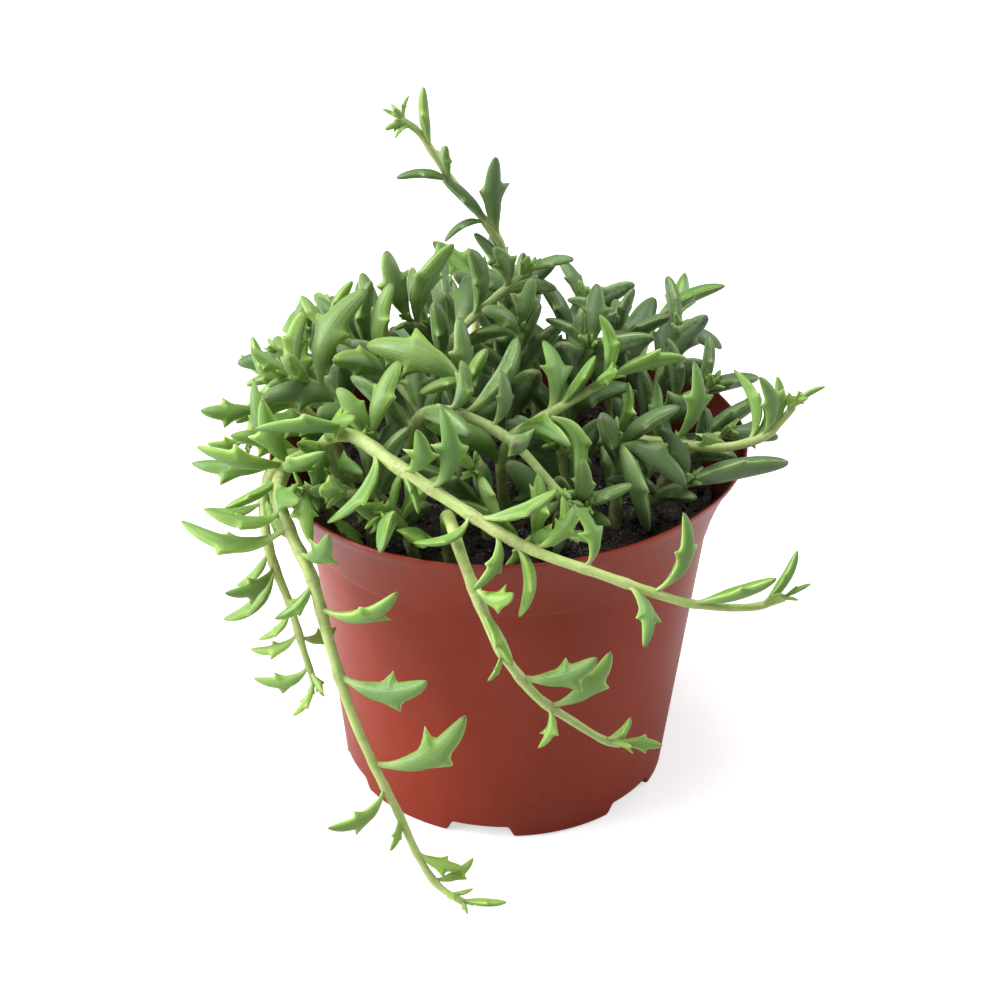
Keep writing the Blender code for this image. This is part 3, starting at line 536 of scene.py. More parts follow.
@dataclass(frozen=True)
class LeafFinish:
    """Fleshy leaves with a waxy bloom, a keel line and pale edges partly of painted highlight, a dark point,
    on a pale stem.

    A band gives the values between which a mark fades in and, third, how strong it gets. It reads how far
    along the leaf, up its keel or out to its edge a point is, all kept on the mesh, or one of the patterns.
    """

    name: str
    dark: Colour
    light: Colour
    fresh: Colour
    keel: Colour
    edge: Colour
    belly: Colour
    margin: Colour
    stem: Colour
    stem_shade: Colour
    bloom: float
    foot: Colour = (0.4, 0.52, 0.18)
    point: Colour = (0.13, 0.06, 0.05)
    node: Colour = (0.2, 0.13, 0.1)
    thorn: Colour = (0.5, 0.25, 0.2)
    wax: Colour = (0.3, 0.4, 0.25)
    worn: Colour = (0.3, 0.22, 0.16)
    margin_band: Band = (0.55, 0.97, 0.62)
    dark_crease: Band = (0.56, 0.3, 0.24)
    pale_crease: Band = (0.56, 0.78, 0.16)
    belly_band: Band = (-0.2, -0.9, 0.5)
    # partly painted highlight: the pale line on top of the keel and the pale rim at the edges, part window
    # line and rim, part highlight
    keel_line_and_highlight_band: Band = (0.72, 1.0, 0.75)
    keel_end: Band = (0.93, 0.8)
    pale_rim_and_highlight_band: Band = (0.95, 1.0, 0.8)
    edge_gaps: Band = (0.1, 0.7)
    thorn_band: Band = (0.72, 1.0, 0.75)
    foot_band: Band = (0.34, 0.05, 0.75)
    point_band: Band = (0.955, 1.0, 0.8)
    wax_specks: Band = (0.4, 0.75)
    wax_upwards: Band = (-0.3, 0.5)
    stem_patches: Band = (0.35, 0.8)
    stem_tone: Band = (1.0, 0.0, 0.8)
    stem_creases: Band = (0.55, 0.34, 0.6)
    worn_patches: Band = (0.62, 0.95, 0.6)
    worn_age: Band = (0.6, 0.0)
    node_specks: Band = (0.35, 0.75, 0.5)
    crease_scale: Place = (2.2, 5.0, 5.0)
    roughness: float = 0.32
    specular: float = 0.36
    relief: Span = (0.35, 0.0004)
    inner_light: float = 0.12
    inner_reach: Place = (0.6, 1.0, 0.25)
    inner_depth: float = 0.0018

    def creases(self, w: Wiring) -> Socket:
        """Long streaks from foot to tip: noise read slowly along the leaf and quickly round it.

        Args:
            w: The wiring.

        Returns:
            The streaks' socket.
        """
        at = w.node("ShaderNodeCombineXYZ")
        names = ("along", "keel", "edge")
        along, keel, edge = (w.times(w.value(k), size) for k, size in zip(names, self.crease_scale))
        for socket, value in zip(at.inputs, (along, keel, w.plus(edge, w.value("tone")))):
            w.feed(socket, value)
        return w.noise(at.outputs[0], 1.0, 1.0)

    def blade_colour(self, w: Wiring, seen: Patterns) -> Socket:
        """The colour of the leaves: dark to light by leaf, fresh near the shoot's tip, with painted light
        towards the front left, then the markings.

        Args:
            w: The wiring.
            seen: The patterns.

        Returns:
            The colour's socket.
        """
        along, keel, edge = w.value("along"), w.value("keel"), w.value("edge")
        # painted light: tone and youth run lighter and fresher towards the front left, darker towards the
        # back right
        colour = w.mix(w.blend(w.value("tone"), 0.6, seen.patches, 0.4), self.dark, self.light)
        specks = w.fade(seen.specks, *self.wax_specks, self.bloom)
        marks = (
            (w.fade(edge, *self.margin_band), self.margin),
            (w.value("youth"), self.fresh),
            (w.fade(seen.creases, *self.dark_crease), self.dark),
            (w.fade(seen.creases, *self.pale_crease), self.wax),
            (w.fade(keel, *self.belly_band), self.belly),
            # partly painted highlight: the pale keel line and the pale rim at the edges
            (w.times(w.fade(keel, *self.keel_line_and_highlight_band), w.fade(along, *self.keel_end)), self.keel),
            (w.times(w.fade(edge, *self.pale_rim_and_highlight_band), w.fade(seen.patches, *self.edge_gaps)), self.edge),
            (w.fade(w.value("node"), *self.thorn_band), self.thorn),
            (w.fade(along, *self.foot_band), self.foot),
            (w.times(specks, w.fade(keel, *self.wax_upwards)), self.wax),
            (w.fade(along, *self.point_band), self.point),
        )
        for share, mark in marks:
            colour = w.mix(share, colour, mark)
        return colour

    def stem_colour(self, w: Wiring, seen: Patterns) -> Socket:
        """The colour of the stem: pale, greener in streaks and patches, and browner at the leaves' feet.

        Args:
            w: The wiring.
            seen: The patterns.

        Returns:
            The colour's socket.
        """
        colour = w.mix(w.fade(seen.patches, *self.stem_patches), self.stem, self.stem_shade)
        age = w.fade(w.value("youth"), *self.worn_age)
        marks = (
            (w.fade(w.value("tone"), *self.stem_tone), self.light),
            (w.fade(seen.creases, *self.stem_creases), self.stem_shade),
            (w.times(w.fade(seen.patches, *self.worn_patches), age), self.worn),
            (w.times(w.value("node"), w.fade(seen.specks, *self.node_specks)), self.node),
        )
        for share, mark in marks:
            colour = w.mix(share, colour, mark)
        return colour

    def material(self) -> bpy.types.Material:
        """Builds the material from the shared effects and the values kept on the mesh."""
        made, w, shader, place = blank_material(self.name)
        patches = w.effect(Effect.MOTTLE, Place=place, Scale=130.0, Amount=2.2)
        specks = w.effect(Effect.MOTTLE, Place=place, Scale=900.0, Amount=2.0)
        dust = w.effect(Effect.DUST, Place=place, Scale=150.0, Amount=0.1)
        grain = w.effect(Effect.GRAIN, Place=place, Scale=1800.0, Amount=0.5)
        seen = Patterns(self.creases(w), patches, specks)
        colour = w.mix(w.value("blade"), self.stem_colour(w, seen), self.blade_colour(w, seen))
        w.feed(shader.inputs["Base Color"], w.mix(dust, colour, self.wax))
        w.feed(shader.inputs["Roughness"], w.plus(w.times(specks, 0.2), self.roughness))
        raise_bump(w, shader, w.blend(grain, 0.5, seen.creases, 0.8), *self.relief)
        shader.inputs["Subsurface Weight"].default_value = self.inner_light
        shader.inputs["Subsurface Radius"].default_value = self.inner_reach
        shader.inputs["Subsurface Scale"].default_value = self.inner_depth
        shader.inputs["Specular IOR Level"].default_value = self.specular
        return made


@dataclass(frozen=True)
class FloorFinish:
    """A pale matt studio floor, faintly clouded, which glows to white for the camera further out."""

    name: str = "studio_floor"
    pale: Colour = (0.6, 0.6, 0.6)
    paler: Colour = (0.64, 0.64, 0.64)
    roughness: float = 0.9
    specular: float = 0.1
    glow: float = 0.6
    fading: Band = (0.3, 1.2)

    def material(self) -> bpy.types.Material:
        """Builds the material."""
        made, w, shader, place = blank_material(self.name)
        w.feed(shader.inputs["Base Color"], w.mix(w.noise(place, 6.0, 3.0), self.pale, self.paler))
        shader.inputs["Roughness"].default_value = self.roughness
        shader.inputs["Specular IOR Level"].default_value = self.specular
        w.feed(shader.inputs["Emission Color"], WHITE)
        seen = w.node("ShaderNodeLightPath").outputs["Is Camera Ray"]
        far = w.node("ShaderNodeVectorMath", operation="LENGTH")
        w.feed(far.inputs[0], place)
        glow = w.plus(w.fade(far.outputs["Value"], *self.fading, 1.0 - self.glow), self.glow)
        w.feed(shader.inputs["Emission Strength"], w.times(seen, glow))
        return made


YOUNG_LEAF = LeafFinish(
    name="young_leaf_look",
    dark=(0.052, 0.13, 0.028),
    light=(0.135, 0.275, 0.05),
    fresh=(0.27, 0.44, 0.06),
    keel=(0.27, 0.43, 0.13),
    edge=(0.56, 0.66, 0.34),
    belly=(0.14, 0.26, 0.075),
    margin=(0.2, 0.385, 0.05),
    stem=(0.45, 0.54, 0.2),
    stem_shade=(0.33, 0.45, 0.12),
    bloom=0.1,
    wax=(0.3, 0.42, 0.15),
)
OLD_LEAF = LeafFinish(
    name="old_leaf_look",
    dark=(0.045, 0.09, 0.033),
    light=(0.135, 0.215, 0.08),
    fresh=(0.24, 0.4, 0.065),
    keel=(0.28, 0.4, 0.19),
    edge=(0.34, 0.43, 0.2),
    belly=(0.11, 0.175, 0.075),
    margin=(0.135, 0.235, 0.06),
    stem=(0.38, 0.48, 0.18),
    stem_shade=(0.26, 0.35, 0.12),
    bloom=0.26,
)


# The pot


@dataclass(frozen=True)
class PotShape:
    """Sizes of the pot: a thin tapered wall, a flared collar above a slight step and raised drain pockets."""

    height: float = 94.0
    rim_radius: float = 60.0
    step_height: float = 73.6
    step_radius: float = 51.4
    step_out: float = 0.6
    foot_radius: float = 43.0
    wall: float = 1.0
    foot_round: float = 0.8
    collar_middle: float = 0.45
    collar_bulge: float = 0.9
    rim_oval: float = 0.045
    rim_oval_angle: float = math.radians(36.0)
    oval_start: float = 0.6
    pockets: int = 6
    pocket_angle: float = math.radians(-98.0)
    pocket_rise: float = 3.2
    pocket_start: float = 29.0
    pocket_slope: float = 2.5
    pocket_sides: Span = (9.5, 12.5)
    drain_radius: float = 2.6

    @property
    def taper(self) -> float:
        """How much the wall widens with each millimetre of height."""
        return (self.step_radius - self.foot_radius) / (self.step_height - self.foot_round)

    def sections(self) -> tuple[list[Place], list[Place]]:
        """The outer and the inner half section as few (radius, height) points, foot to rim."""
        start = self.step_radius + self.step_out
        middle = (
            start + self.collar_middle * (self.rim_radius - start) - self.collar_bulge,
            self.step_height + self.collar_middle * (self.height - self.step_height),
        )
        outer = [
            (self.foot_radius, self.foot_round),
            (self.step_radius, self.step_height),
            (start, self.step_height + self.step_out),
            middle,
            (self.rim_radius, self.height - self.wall / 3),
            (self.rim_radius - self.wall / 4, self.height),
        ]
        inner = [
            (self.foot_radius - self.wall, self.wall + self.foot_round),
            (self.step_radius - self.wall, self.step_height),
            (start - self.wall, self.step_height + self.step_out),
            (middle[0] - self.wall, middle[1]),
            (self.rim_radius - self.wall, self.height),
        ]
        return outer, inner

    def pocket_turns(self) -> Array:
        """The angle at the middle of each pocket."""
        return self.pocket_angle + around(self.pockets)

    def oval(self, angle: Array, height: Array | float) -> Array:
        """How far the thin collar is out of round, as a factor on the radius.

        Args:
            angle: Angles round the axis.
            height: Heights.

        Returns:
            1 + oval share * cos(2 (angle - long axis)), growing in from about half way up to the rim.
        """
        share = smoothstep(self.step_height * self.oval_start, self.height, height)
        return 1.0 + self.rim_oval * share * np.cos(2.0 * (angle - self.rim_oval_angle))

    def wall_radius(self, section: list[Place], angle: Array, height: Array | float) -> Array:
        """The radius of a wall surface.

        Args:
            section: The outer or the inner half section.
            angle: Angles round the axis.
            height: Heights.

        Returns:
            The radius read off the section, times the oval.
        """
        plain = np.interp(height, [p[1] for p in section], [p[0] for p in section])
        return plain * self.oval(angle, height)

    def lift(self, angle: Array, radius: Array) -> Array:
        """How far the floor is raised by the drain pockets.

        Args:
            angle: Angles round the axis.
            radius: Radii.

        Returns:
            The rise, times an S-shaped fall at the pocket's sides and an S-shaped rise at its inner end.
        """
        turn = 2.0 * math.pi / self.pockets
        across = np.degrees(np.abs((angle - self.pocket_angle + turn / 2) % turn - turn / 2))
        sides = 1.0 - smoothstep(*self.pocket_sides, across)
        end = self.pocket_start + self.pocket_slope
        return self.pocket_rise * sides * smoothstep(self.pocket_start, end, radius)


@dataclass
class Pot:
    """The nursery pot: one thin shell with a rounded lip and foot, and a drain hole in each pocket."""

    shape: PotShape
    finish: PlasticFinish = PlasticFinish()
    name: str = "pot_shell"
    lip: float = 0.46
    bead: float = 0.35
    bead_below: float = 1.4
    bead_width: float = 0.8
    lining_from: float = 1.2
    bowl_clear: float = 1.0
    under_radii: Place = (6, 12, 18, 24, 28, 29, 29.6, 30.2, 30.8, 31.5, 34, 37, 40)
    floor_radii: Place = (37, 34, 31.5, 30.8, 30.2, 29.6, 29, 28, 20, 10)
    arc_points: int = 6
    wall_points: int = 26
    collar_points: int = 15
    lip_points: int = 11
    column_runs: tuple[Place, ...] = (
        (-30, -13.5, 1.5), (-13.5, -8.5, 0.5), (-8.5, 8.6, 1.7), (9, 14, 0.5), (14, 29, 1.5),
    )
    warp: float = 0.0012
    warp_size: float = 0.9
    warp_seed: int = 5
    drain_sides: int = 32
    drain_ends: Span = (-2.0, 3.0)
    sharp: float = math.radians(50.0)

    def half_section(self) -> Array:
        """The closed half section from the middle of the underside round to the middle of the floor.

        The collar is a straight line less a parabola of the bulge. The step and the foot are arcs, and the
        lip is a half round whose outer side stands out by a slight bead.

        Returns:
            Rows of (radius, height, share of the pockets' lift, share of lining).
        """
        p = self.shape
        arc = np.linspace(0.0, 1.0, self.arc_points)
        centre, bend = p.foot_radius - p.foot_round, p.foot_round
        foot = [(centre + bend * math.sin(a), bend * (1 - math.cos(a))) for a in arc * math.pi / 2]
        under = [(r, 0.0, 1.0, 0.0) for r in self.under_radii] + [(r, z, 1.0, 0.0) for r, z in foot]
        out, up = p.step_radius - p.foot_radius, p.step_height - p.foot_round
        rise = np.linspace(0.0, 1.0, self.wall_points)[1:]
        wall = [(p.foot_radius + out * t, p.foot_round + up * t, 1 - t, 0.0) for t in rise]
        low = p.step_height + p.step_out / 4
        bends = zip(arc[1:], smoothstep(0.0, 1.0, arc[1:]))
        step = [(p.step_radius + p.step_out * s, low + p.step_out * t, 0.0, 0.0) for t, s in bends]
        start, low = p.step_radius + p.step_out, low + p.step_out
        out, up = p.rim_radius - start, p.height - self.lip - low
        rise = np.linspace(0.0, 1.0, self.collar_points)[1:]
        bulge = 4.0 * p.collar_bulge
        collar = [(start + out * t - bulge * t * (1 - t), low + up * t, 0.0, 0.0) for t in rise]
        bead = p.height - self.bead_below
        beaded = [
            (r + self.bead * math.exp(-(((z - bead) / self.bead_width) ** 2)), z, 0.0, 0.0)
            for r, z, *_ in collar
        ]
        half, middle, low = p.wall / 2, p.rim_radius - p.wall / 2, p.height - self.lip
        over = [
            (middle + half * math.cos(a), low + self.lip * math.sin(a), 0.0, float(a > self.lining_from))
            for a in np.linspace(0.0, math.pi, self.lip_points)[1:]
        ]
        bottom = p.wall + p.foot_round + self.bowl_clear
        outside = reversed(wall + step + collar[:-1])
        inside = [(r - p.wall, z, lift, 1.0) for r, z, lift, _ in outside if z > bottom]
        bowl = [(r - p.wall, z + p.wall, 1.0, 1.0) for r, z in reversed(foot)]
        floor = [(r, p.wall, 1.0, 1.0) for r in self.floor_radii]
        return np.array(under + wall + step + beaded + over + inside + bowl + floor)

    def columns(self) -> Array:
        """The angles of the columns, closer together at the sides of a pocket."""
        steps = np.concatenate([np.arange(*run) for run in self.column_runs])
        return (self.shape.pocket_turns()[:, None] + np.radians(steps)[None]).reshape(-1)

    def shell(self) -> Skin:
        """Turns the half section about the axis, moved up by the lift and out by taper and oval."""
        section, angle = self.half_section(), self.columns()
        radius, height, share, lining = (section[:, k][:, None] for k in range(4))
        lift = self.shape.lift(angle[None], radius) * share
        z = height + lift
        r = (radius + self.shape.taper * lift) * self.shape.oval(angle[None], z)
        uneven = rumble(turned(1.0, angle, 0.0)[:, :2], self.warp_size, self.warp_seed)[None]
        grid = turned(r * (1.0 + self.warp * uneven * (z / self.shape.height)), angle, z)
        skin = Skin()
        skin.add_tubes(grid[None], np.zeros((1, 3)), self.shape.wall * UP[None], {"lining": lining[None]})
        return skin

    def drill(self, pot: bpy.types.Object) -> None:
        """Takes a round drain hole out of the floor in each pocket.

        Args:
            pot: The pot's object.
        """
        p = self.shape
        radius = (p.pocket_start + p.pocket_slope + p.foot_radius) / 2
        centre = turned(radius, p.pocket_turns(), p.pocket_rise)
        ring = turned(p.drain_radius, around(self.drain_sides), 0.0)
        ends = np.array(self.drain_ends)[:, None] * UP
        grid = centre[:, None, None] + ends[None, :, None] + ring[None, None]
        skin = Skin()
        skin.add_tubes(grid, centre + ends[0], centre + ends[1], {"lining": 0.0})
        cutter = skin.piece("drain_cutter")
        boolean = pot.modifiers.new("drain holes", "BOOLEAN")
        boolean.operation = "DIFFERENCE"
        boolean.object = cutter
        graph = bpy.context.evaluated_depsgraph_get()
        graph.update()
        done = bpy.data.meshes.new_from_object(pot.evaluated_get(graph))
        pot.modifiers.clear()
        plain, pot.data = pot.data, done
        spare = cutter.data
        bpy.data.objects.remove(cutter)
        for mesh in (plain, spare):
            bpy.data.meshes.remove(mesh)

    def build(self) -> None:
        """Makes and dresses the pot."""
        pot = self.shell().piece(self.name)
        self.drill(pot)
        pot.data.name = self.name
        pot.data.shade_smooth()
        pot.data.set_sharp_from_angle(angle=self.sharp)
        pot.data.materials.append(self.finish.material())
        settle(pot, ("pot",))


# The soil


@dataclass(frozen=True)
class SoilShape:
    """Where the soil's surface lies."""

    gap: float = 0.4
    top: float = 80.0
    heap: float = 2.5
    waves: float = 1.4
    root_depth: float = 7.0
    reach: float = 51.4
    across_wave: Span = (0.23, 1.1)
    back_wave: Span = (0.19, -0.4)
    slanted_wave: Span = (0.17, 0.31)
    slanted_share: float = 0.6

    def height(self, x: Array, y: Array) -> Array:
        """The soil's surface: heaped in the middle, with slow waves as of watered peat.

        Args:
            x: Places across.
            y: Places towards the back.

        Returns:
            The top, plus the heap as one less the square of the distance, plus the waves: a sine across
            times a cosine towards the back, and a share of a slanted sine.
        """
        far = np.hypot(x, y) / self.reach
        (turn_x, start_x), (turn_y, start_y) = self.across_wave, self.back_wave
        slant_x, slant_y = self.slanted_wave
        waves = np.sin(turn_x * x + start_x) * np.cos(turn_y * y + start_y)
        waves = waves + self.slanted_share * np.sin(slant_y * y + slant_x * x)
        return self.top + self.heap * (1.0 - far**2) + self.waves * waves / (1.0 + self.slanted_share)


@dataclass
class Soil:
    """The peat: a filled body with a rough top, loose crumbs and root fibres on it.

    Each row of rough is the height, the size and the seed of one pattern of bumps. Each row of crumb_rings
    is the radius and the height of a ring, for a crumb of size one.
    """

    pot: PotShape
    shape: SoilShape
    finish: PeatFinish = PeatFinish()
    name: str = "peat_body"
    columns: int = 150
    rings: int = 58
    innermost: float = 0.02
    bottom_radius: float = 12.0
    slope: float = 3.0
    edge_rise: float = 1.0
    wall_heights: Span = (30.0, 55.0)
    rough: tuple[tuple[float, float, int], ...] = ((0.45, 6.0, 11), (0.3, 2.6, 12), (0.2, 1.3, 13))
    calm_edge: float = 20.0
    sunk: float = 0.3
    body_tone: float = 0.35
    crumbs: int = 2600
    crumb_seed: int = 71
    crumb_inset: float = 2.6
    crumb_size: float = 0.42
    crumb_spread: float = 0.42
    crumb_sizes: Span = (0.4, 3.6)
    crumb_rise: Span = (-0.35, 0.75)
    crumb_sides: int = 5
    crumb_rings: tuple[Span, ...] = ((0.85, -0.45), (0.95, 0.4))
    crumb_poles: Span = (-0.9, 0.95)
    ring_draw: Span = (0.65, 1.35)
    pole_draw: Span = (0.7, 1.2)
    squash_draw: Span = (0.6, 1.4)
    crumb_tones: Span = (1.3, 2.2)
    fibres: int = 240
    fibre_seed: int = 72
    fibre_inset: float = 6.5
    fibre_length: Span = (2.0, 7.5)
    fibre_bend: Span = (-0.9, 0.9)
    fibre_middle: float = 0.1
    fibre_above: float = 0.35
    fibre_rise: Span = (0.0, 0.5)
    fibre_arch: Span = (-1.0, 2.0)
    fibre_radius: Span = (0.07, 0.17)
    fibre_thinning: float = 0.5
    fibre_points: int = 7
    fibre_sides: int = 3
    fibre_tones: Span = (0.1, 1.0)

    def edge(self, angle: Array, height: float) -> Array:
        """The radius at which the soil ends, a gap inside the wall."""
        return self.pot.wall_radius(self.pot.sections()[1], angle, height) - self.shape.gap

    def body(self, skin: Skin) -> None:
        """The filled body: turned from its half section, its top pushed up and down by waves of three sizes.

        Args:
            skin: Takes the body in.
        """
        p, s = self.pot, self.shape
        base = p.wall + s.gap
        low, side = base + p.pocket_rise, p.foot_radius - p.wall - s.gap
        angle = around(self.columns)
        inner, outer = p.pocket_start - self.slope, side - p.foot_round
        bottom = ((self.bottom_radius, base), (inner, base), (p.pocket_start, low), (outer, low))
        rows = [turned(r, angle, z) for r, z in bottom]
        radii, heights = zip(*p.sections()[1])
        for z in (low + self.edge_rise, *self.wall_heights, p.step_height):
            rows.append(turned((np.interp(z, heights, radii) - s.gap) * p.oval(angle, z), angle, z))
        outer = self.edge(angle, s.top - s.waves)
        for share in np.linspace(1.0, self.innermost, self.rings):
            row = turned(outer * share, angle, 0.0)
            rough = sum(high * rumble(row[:, :2], size, seed) for high, size, seed in self.rough)
            rough = rough * min(1.0, (1 - share) * self.calm_edge)
            row[:, 2] = s.height(row[:, 0], row[:, 1]) + rough - self.sunk
            rows.append(row)
        values = {"tone": self.body_tone, "fibre": 0.0}
        skin.add_tubes(np.array(rows)[None], base * UP[None], rows[-1].mean(0)[None], values)

    def scatter(self, count: int, draw: np.random.Generator, inset: float) -> Array:
        """Random places on the surface, as many to each patch of area.

        Args:
            count: How many.
            draw: The random numbers.
            inset: How far they stay from the wall.

        Returns:
            Places as (count, 3).
        """
        angle = draw.uniform(0.0, 2.0 * math.pi, count)
        far = np.sqrt(draw.uniform(0.0, 1.0, count)) * (self.edge(angle, self.shape.top) - inset)
        place = turned(far, angle, 0.0)
        place[:, 2] = self.shape.height(place[:, 0], place[:, 1])
        return place

    def loose_crumbs(self, skin: Skin) -> None:
        """Crumbs: two rings and two poles, each point at a random distance, squashed and turned.

        Args:
            skin: Takes the crumbs in.
        """
        draw, n = np.random.default_rng(self.crumb_seed), self.crumbs
        place = self.scatter(n, draw, self.crumb_inset)
        size = self.crumb_size * np.exp(draw.normal(0.0, self.crumb_spread, n)).clip(*self.crumb_sizes)
        place[:, 2] += draw.uniform(*self.crumb_rise, n) * size
        turn = around(self.crumb_sides)
        grid = np.stack([turned(radius, turn, height) for radius, height in self.crumb_rings])
        grid = grid[None] * draw.uniform(*self.ring_draw, (n, *grid.shape[:2], 1))
        poles = (np.array(self.crumb_poles)[:, None] * UP)[None] * draw.uniform(*self.pole_draw, (n, 2, 1))
        turns = np.linalg.qr(draw.normal(size=(n, 3, 3)))[0]
        turns *= np.sign(np.linalg.det(turns))[:, None, None]
        shape = turns * draw.uniform(*self.squash_draw, (n, 3, 1)) * size[:, None, None]
        grid = np.einsum("nrsk,nkj->nrsj", grid, shape) + place[:, None, None]
        poles = np.einsum("npk,nkj->npj", poles, shape) + place[:, None]
        tone = draw.beta(*self.crumb_tones, n)[:, None, None]
        skin.add_tubes(grid, poles[:, 0], poles[:, 1], {"tone": tone, "fibre": 0.0})

    def root_fibres(self, skin: Skin) -> None:
        """Fibres: thin three-sided tubes along arcs that lie on the crumbs, place + way t + bend t squared.

        Args:
            skin: Takes the fibres in.
        """
        draw, n = np.random.default_rng(self.fibre_seed), self.fibres
        place = self.scatter(n, draw, self.fibre_inset)
        heading = draw.uniform(0.0, 2.0 * math.pi, (n, 1))
        length = draw.uniform(*self.fibre_length, (n, 1))
        bend = draw.uniform(*self.fibre_bend, (n, 1))
        t = np.linspace(-0.5, 0.5, self.fibre_points)[None]
        along, off = length * t, length * bend * (t**2 - self.fibre_middle)
        x = place[:, :1] + np.cos(heading) * along - np.sin(heading) * off
        y = place[:, 1:2] + np.sin(heading) * along + np.cos(heading) * off
        rise, arch = draw.uniform(*self.fibre_rise, (n, 1)), draw.uniform(*self.fibre_arch, (n, 1))
        line = np.stack([x, y, self.shape.height(x, y) + self.fibre_above + rise + arch * t**2], -1)
        way = np.gradient(line, axis=1)
        way /= np.linalg.norm(way, axis=-1, keepdims=True)
        across = np.cross(way, UP)
        across /= np.linalg.norm(across, axis=-1, keepdims=True)
        thick = draw.uniform(*self.fibre_radius, (n, 1)) * (1.0 - self.fibre_thinning * np.abs(t))
        ring = spokes(self.fibre_sides, across, np.cross(way, across))
        grid = line[:, :, None] + ring * thick[..., None, None]
        tone = draw.uniform(*self.fibre_tones, n)[:, None, None]
        skin.add_tubes(grid, line[:, 0], line[:, -1], {"tone": tone, "fibre": 1.0})

    def build(self) -> None:
        """Makes and dresses the soil."""
        skin = Skin()
        self.body(skin)
        self.loose_crumbs(skin)
        self.root_fibres(skin)
        soil = skin.piece(self.name)
        soil.data.materials.append(self.finish.material())
        settle(soil, ("soil",))


# Stems and their routes


STEM_LIGHTNESS = {"stem_top": 2.2, "stem_right": 1.6, "stem_right_low": 0.5}
MOUND_BENDS = ((0.12, 0.4), (0.5, 0.8))
MOUND_RADII = (1.8, 1.1)
MOUND_START = 0.25
ROOT_CLEAR = 1.0


@dataclass(frozen=True)
class StemPlan:
    """One leafy stem: its route, its thickness and what grows on it.

    leaves are the ones with a known place, each as its foot, the way to its tip and, where known, how far
    its broad side is turned from the front, in degrees. count more grow by rule from the share start of the
    stem to its tip, up to the length longest, and lift is how much they point up. slim is a factor on the
    width of all of them.
    """

    name: str
    route: tuple[Place, ...]
    radius: float
    tip_radius: float
    leaves: tuple[Place, ...] = ()
    count: int = 0
    start: float = 0.3
    longest: float = 22.0
    lift: float = 0.5
    slot: Slot = Slot.YOUNG
    slim: float = 1.0

    @property
    def bright(self) -> float:
        """How light and fresh its leaves are, as a factor."""
        return STEM_LIGHTNESS.get(self.name, 1.0)


def mound_stem(
    name: str,
    root: tuple[float, float],
    tip: Place,
    leaves: tuple[Place, ...] = (),
    count: int = 6,
    longest: float = 29.0,
    lift: float = 0.7,
) -> StemPlan:
    """A short upright stem of the mound: it rises from its root and leans over towards its tip.

    Args:
        name: The stem's name.
        root: Where it stands in the soil.
        tip: Where it ends.
        leaves: The leaves with a known place.
        count: How many more grow by rule.
        longest: How long those are.
        lift: How much they point up.

    Returns:
        The plan, with a route of four points.
    """
    soil = SoilShape()
    low = np.array((*root, soil.top - soil.root_depth + ROOT_CLEAR))
    way = np.array(tip) - low
    bends = [tuple(low + way * (out, out, up)) for out, up in MOUND_BENDS]
    route = (tuple(low), *bends, tip)
    return StemPlan(name, route, *MOUND_RADII, leaves, count, MOUND_START, longest, lift, Slot.OLD)


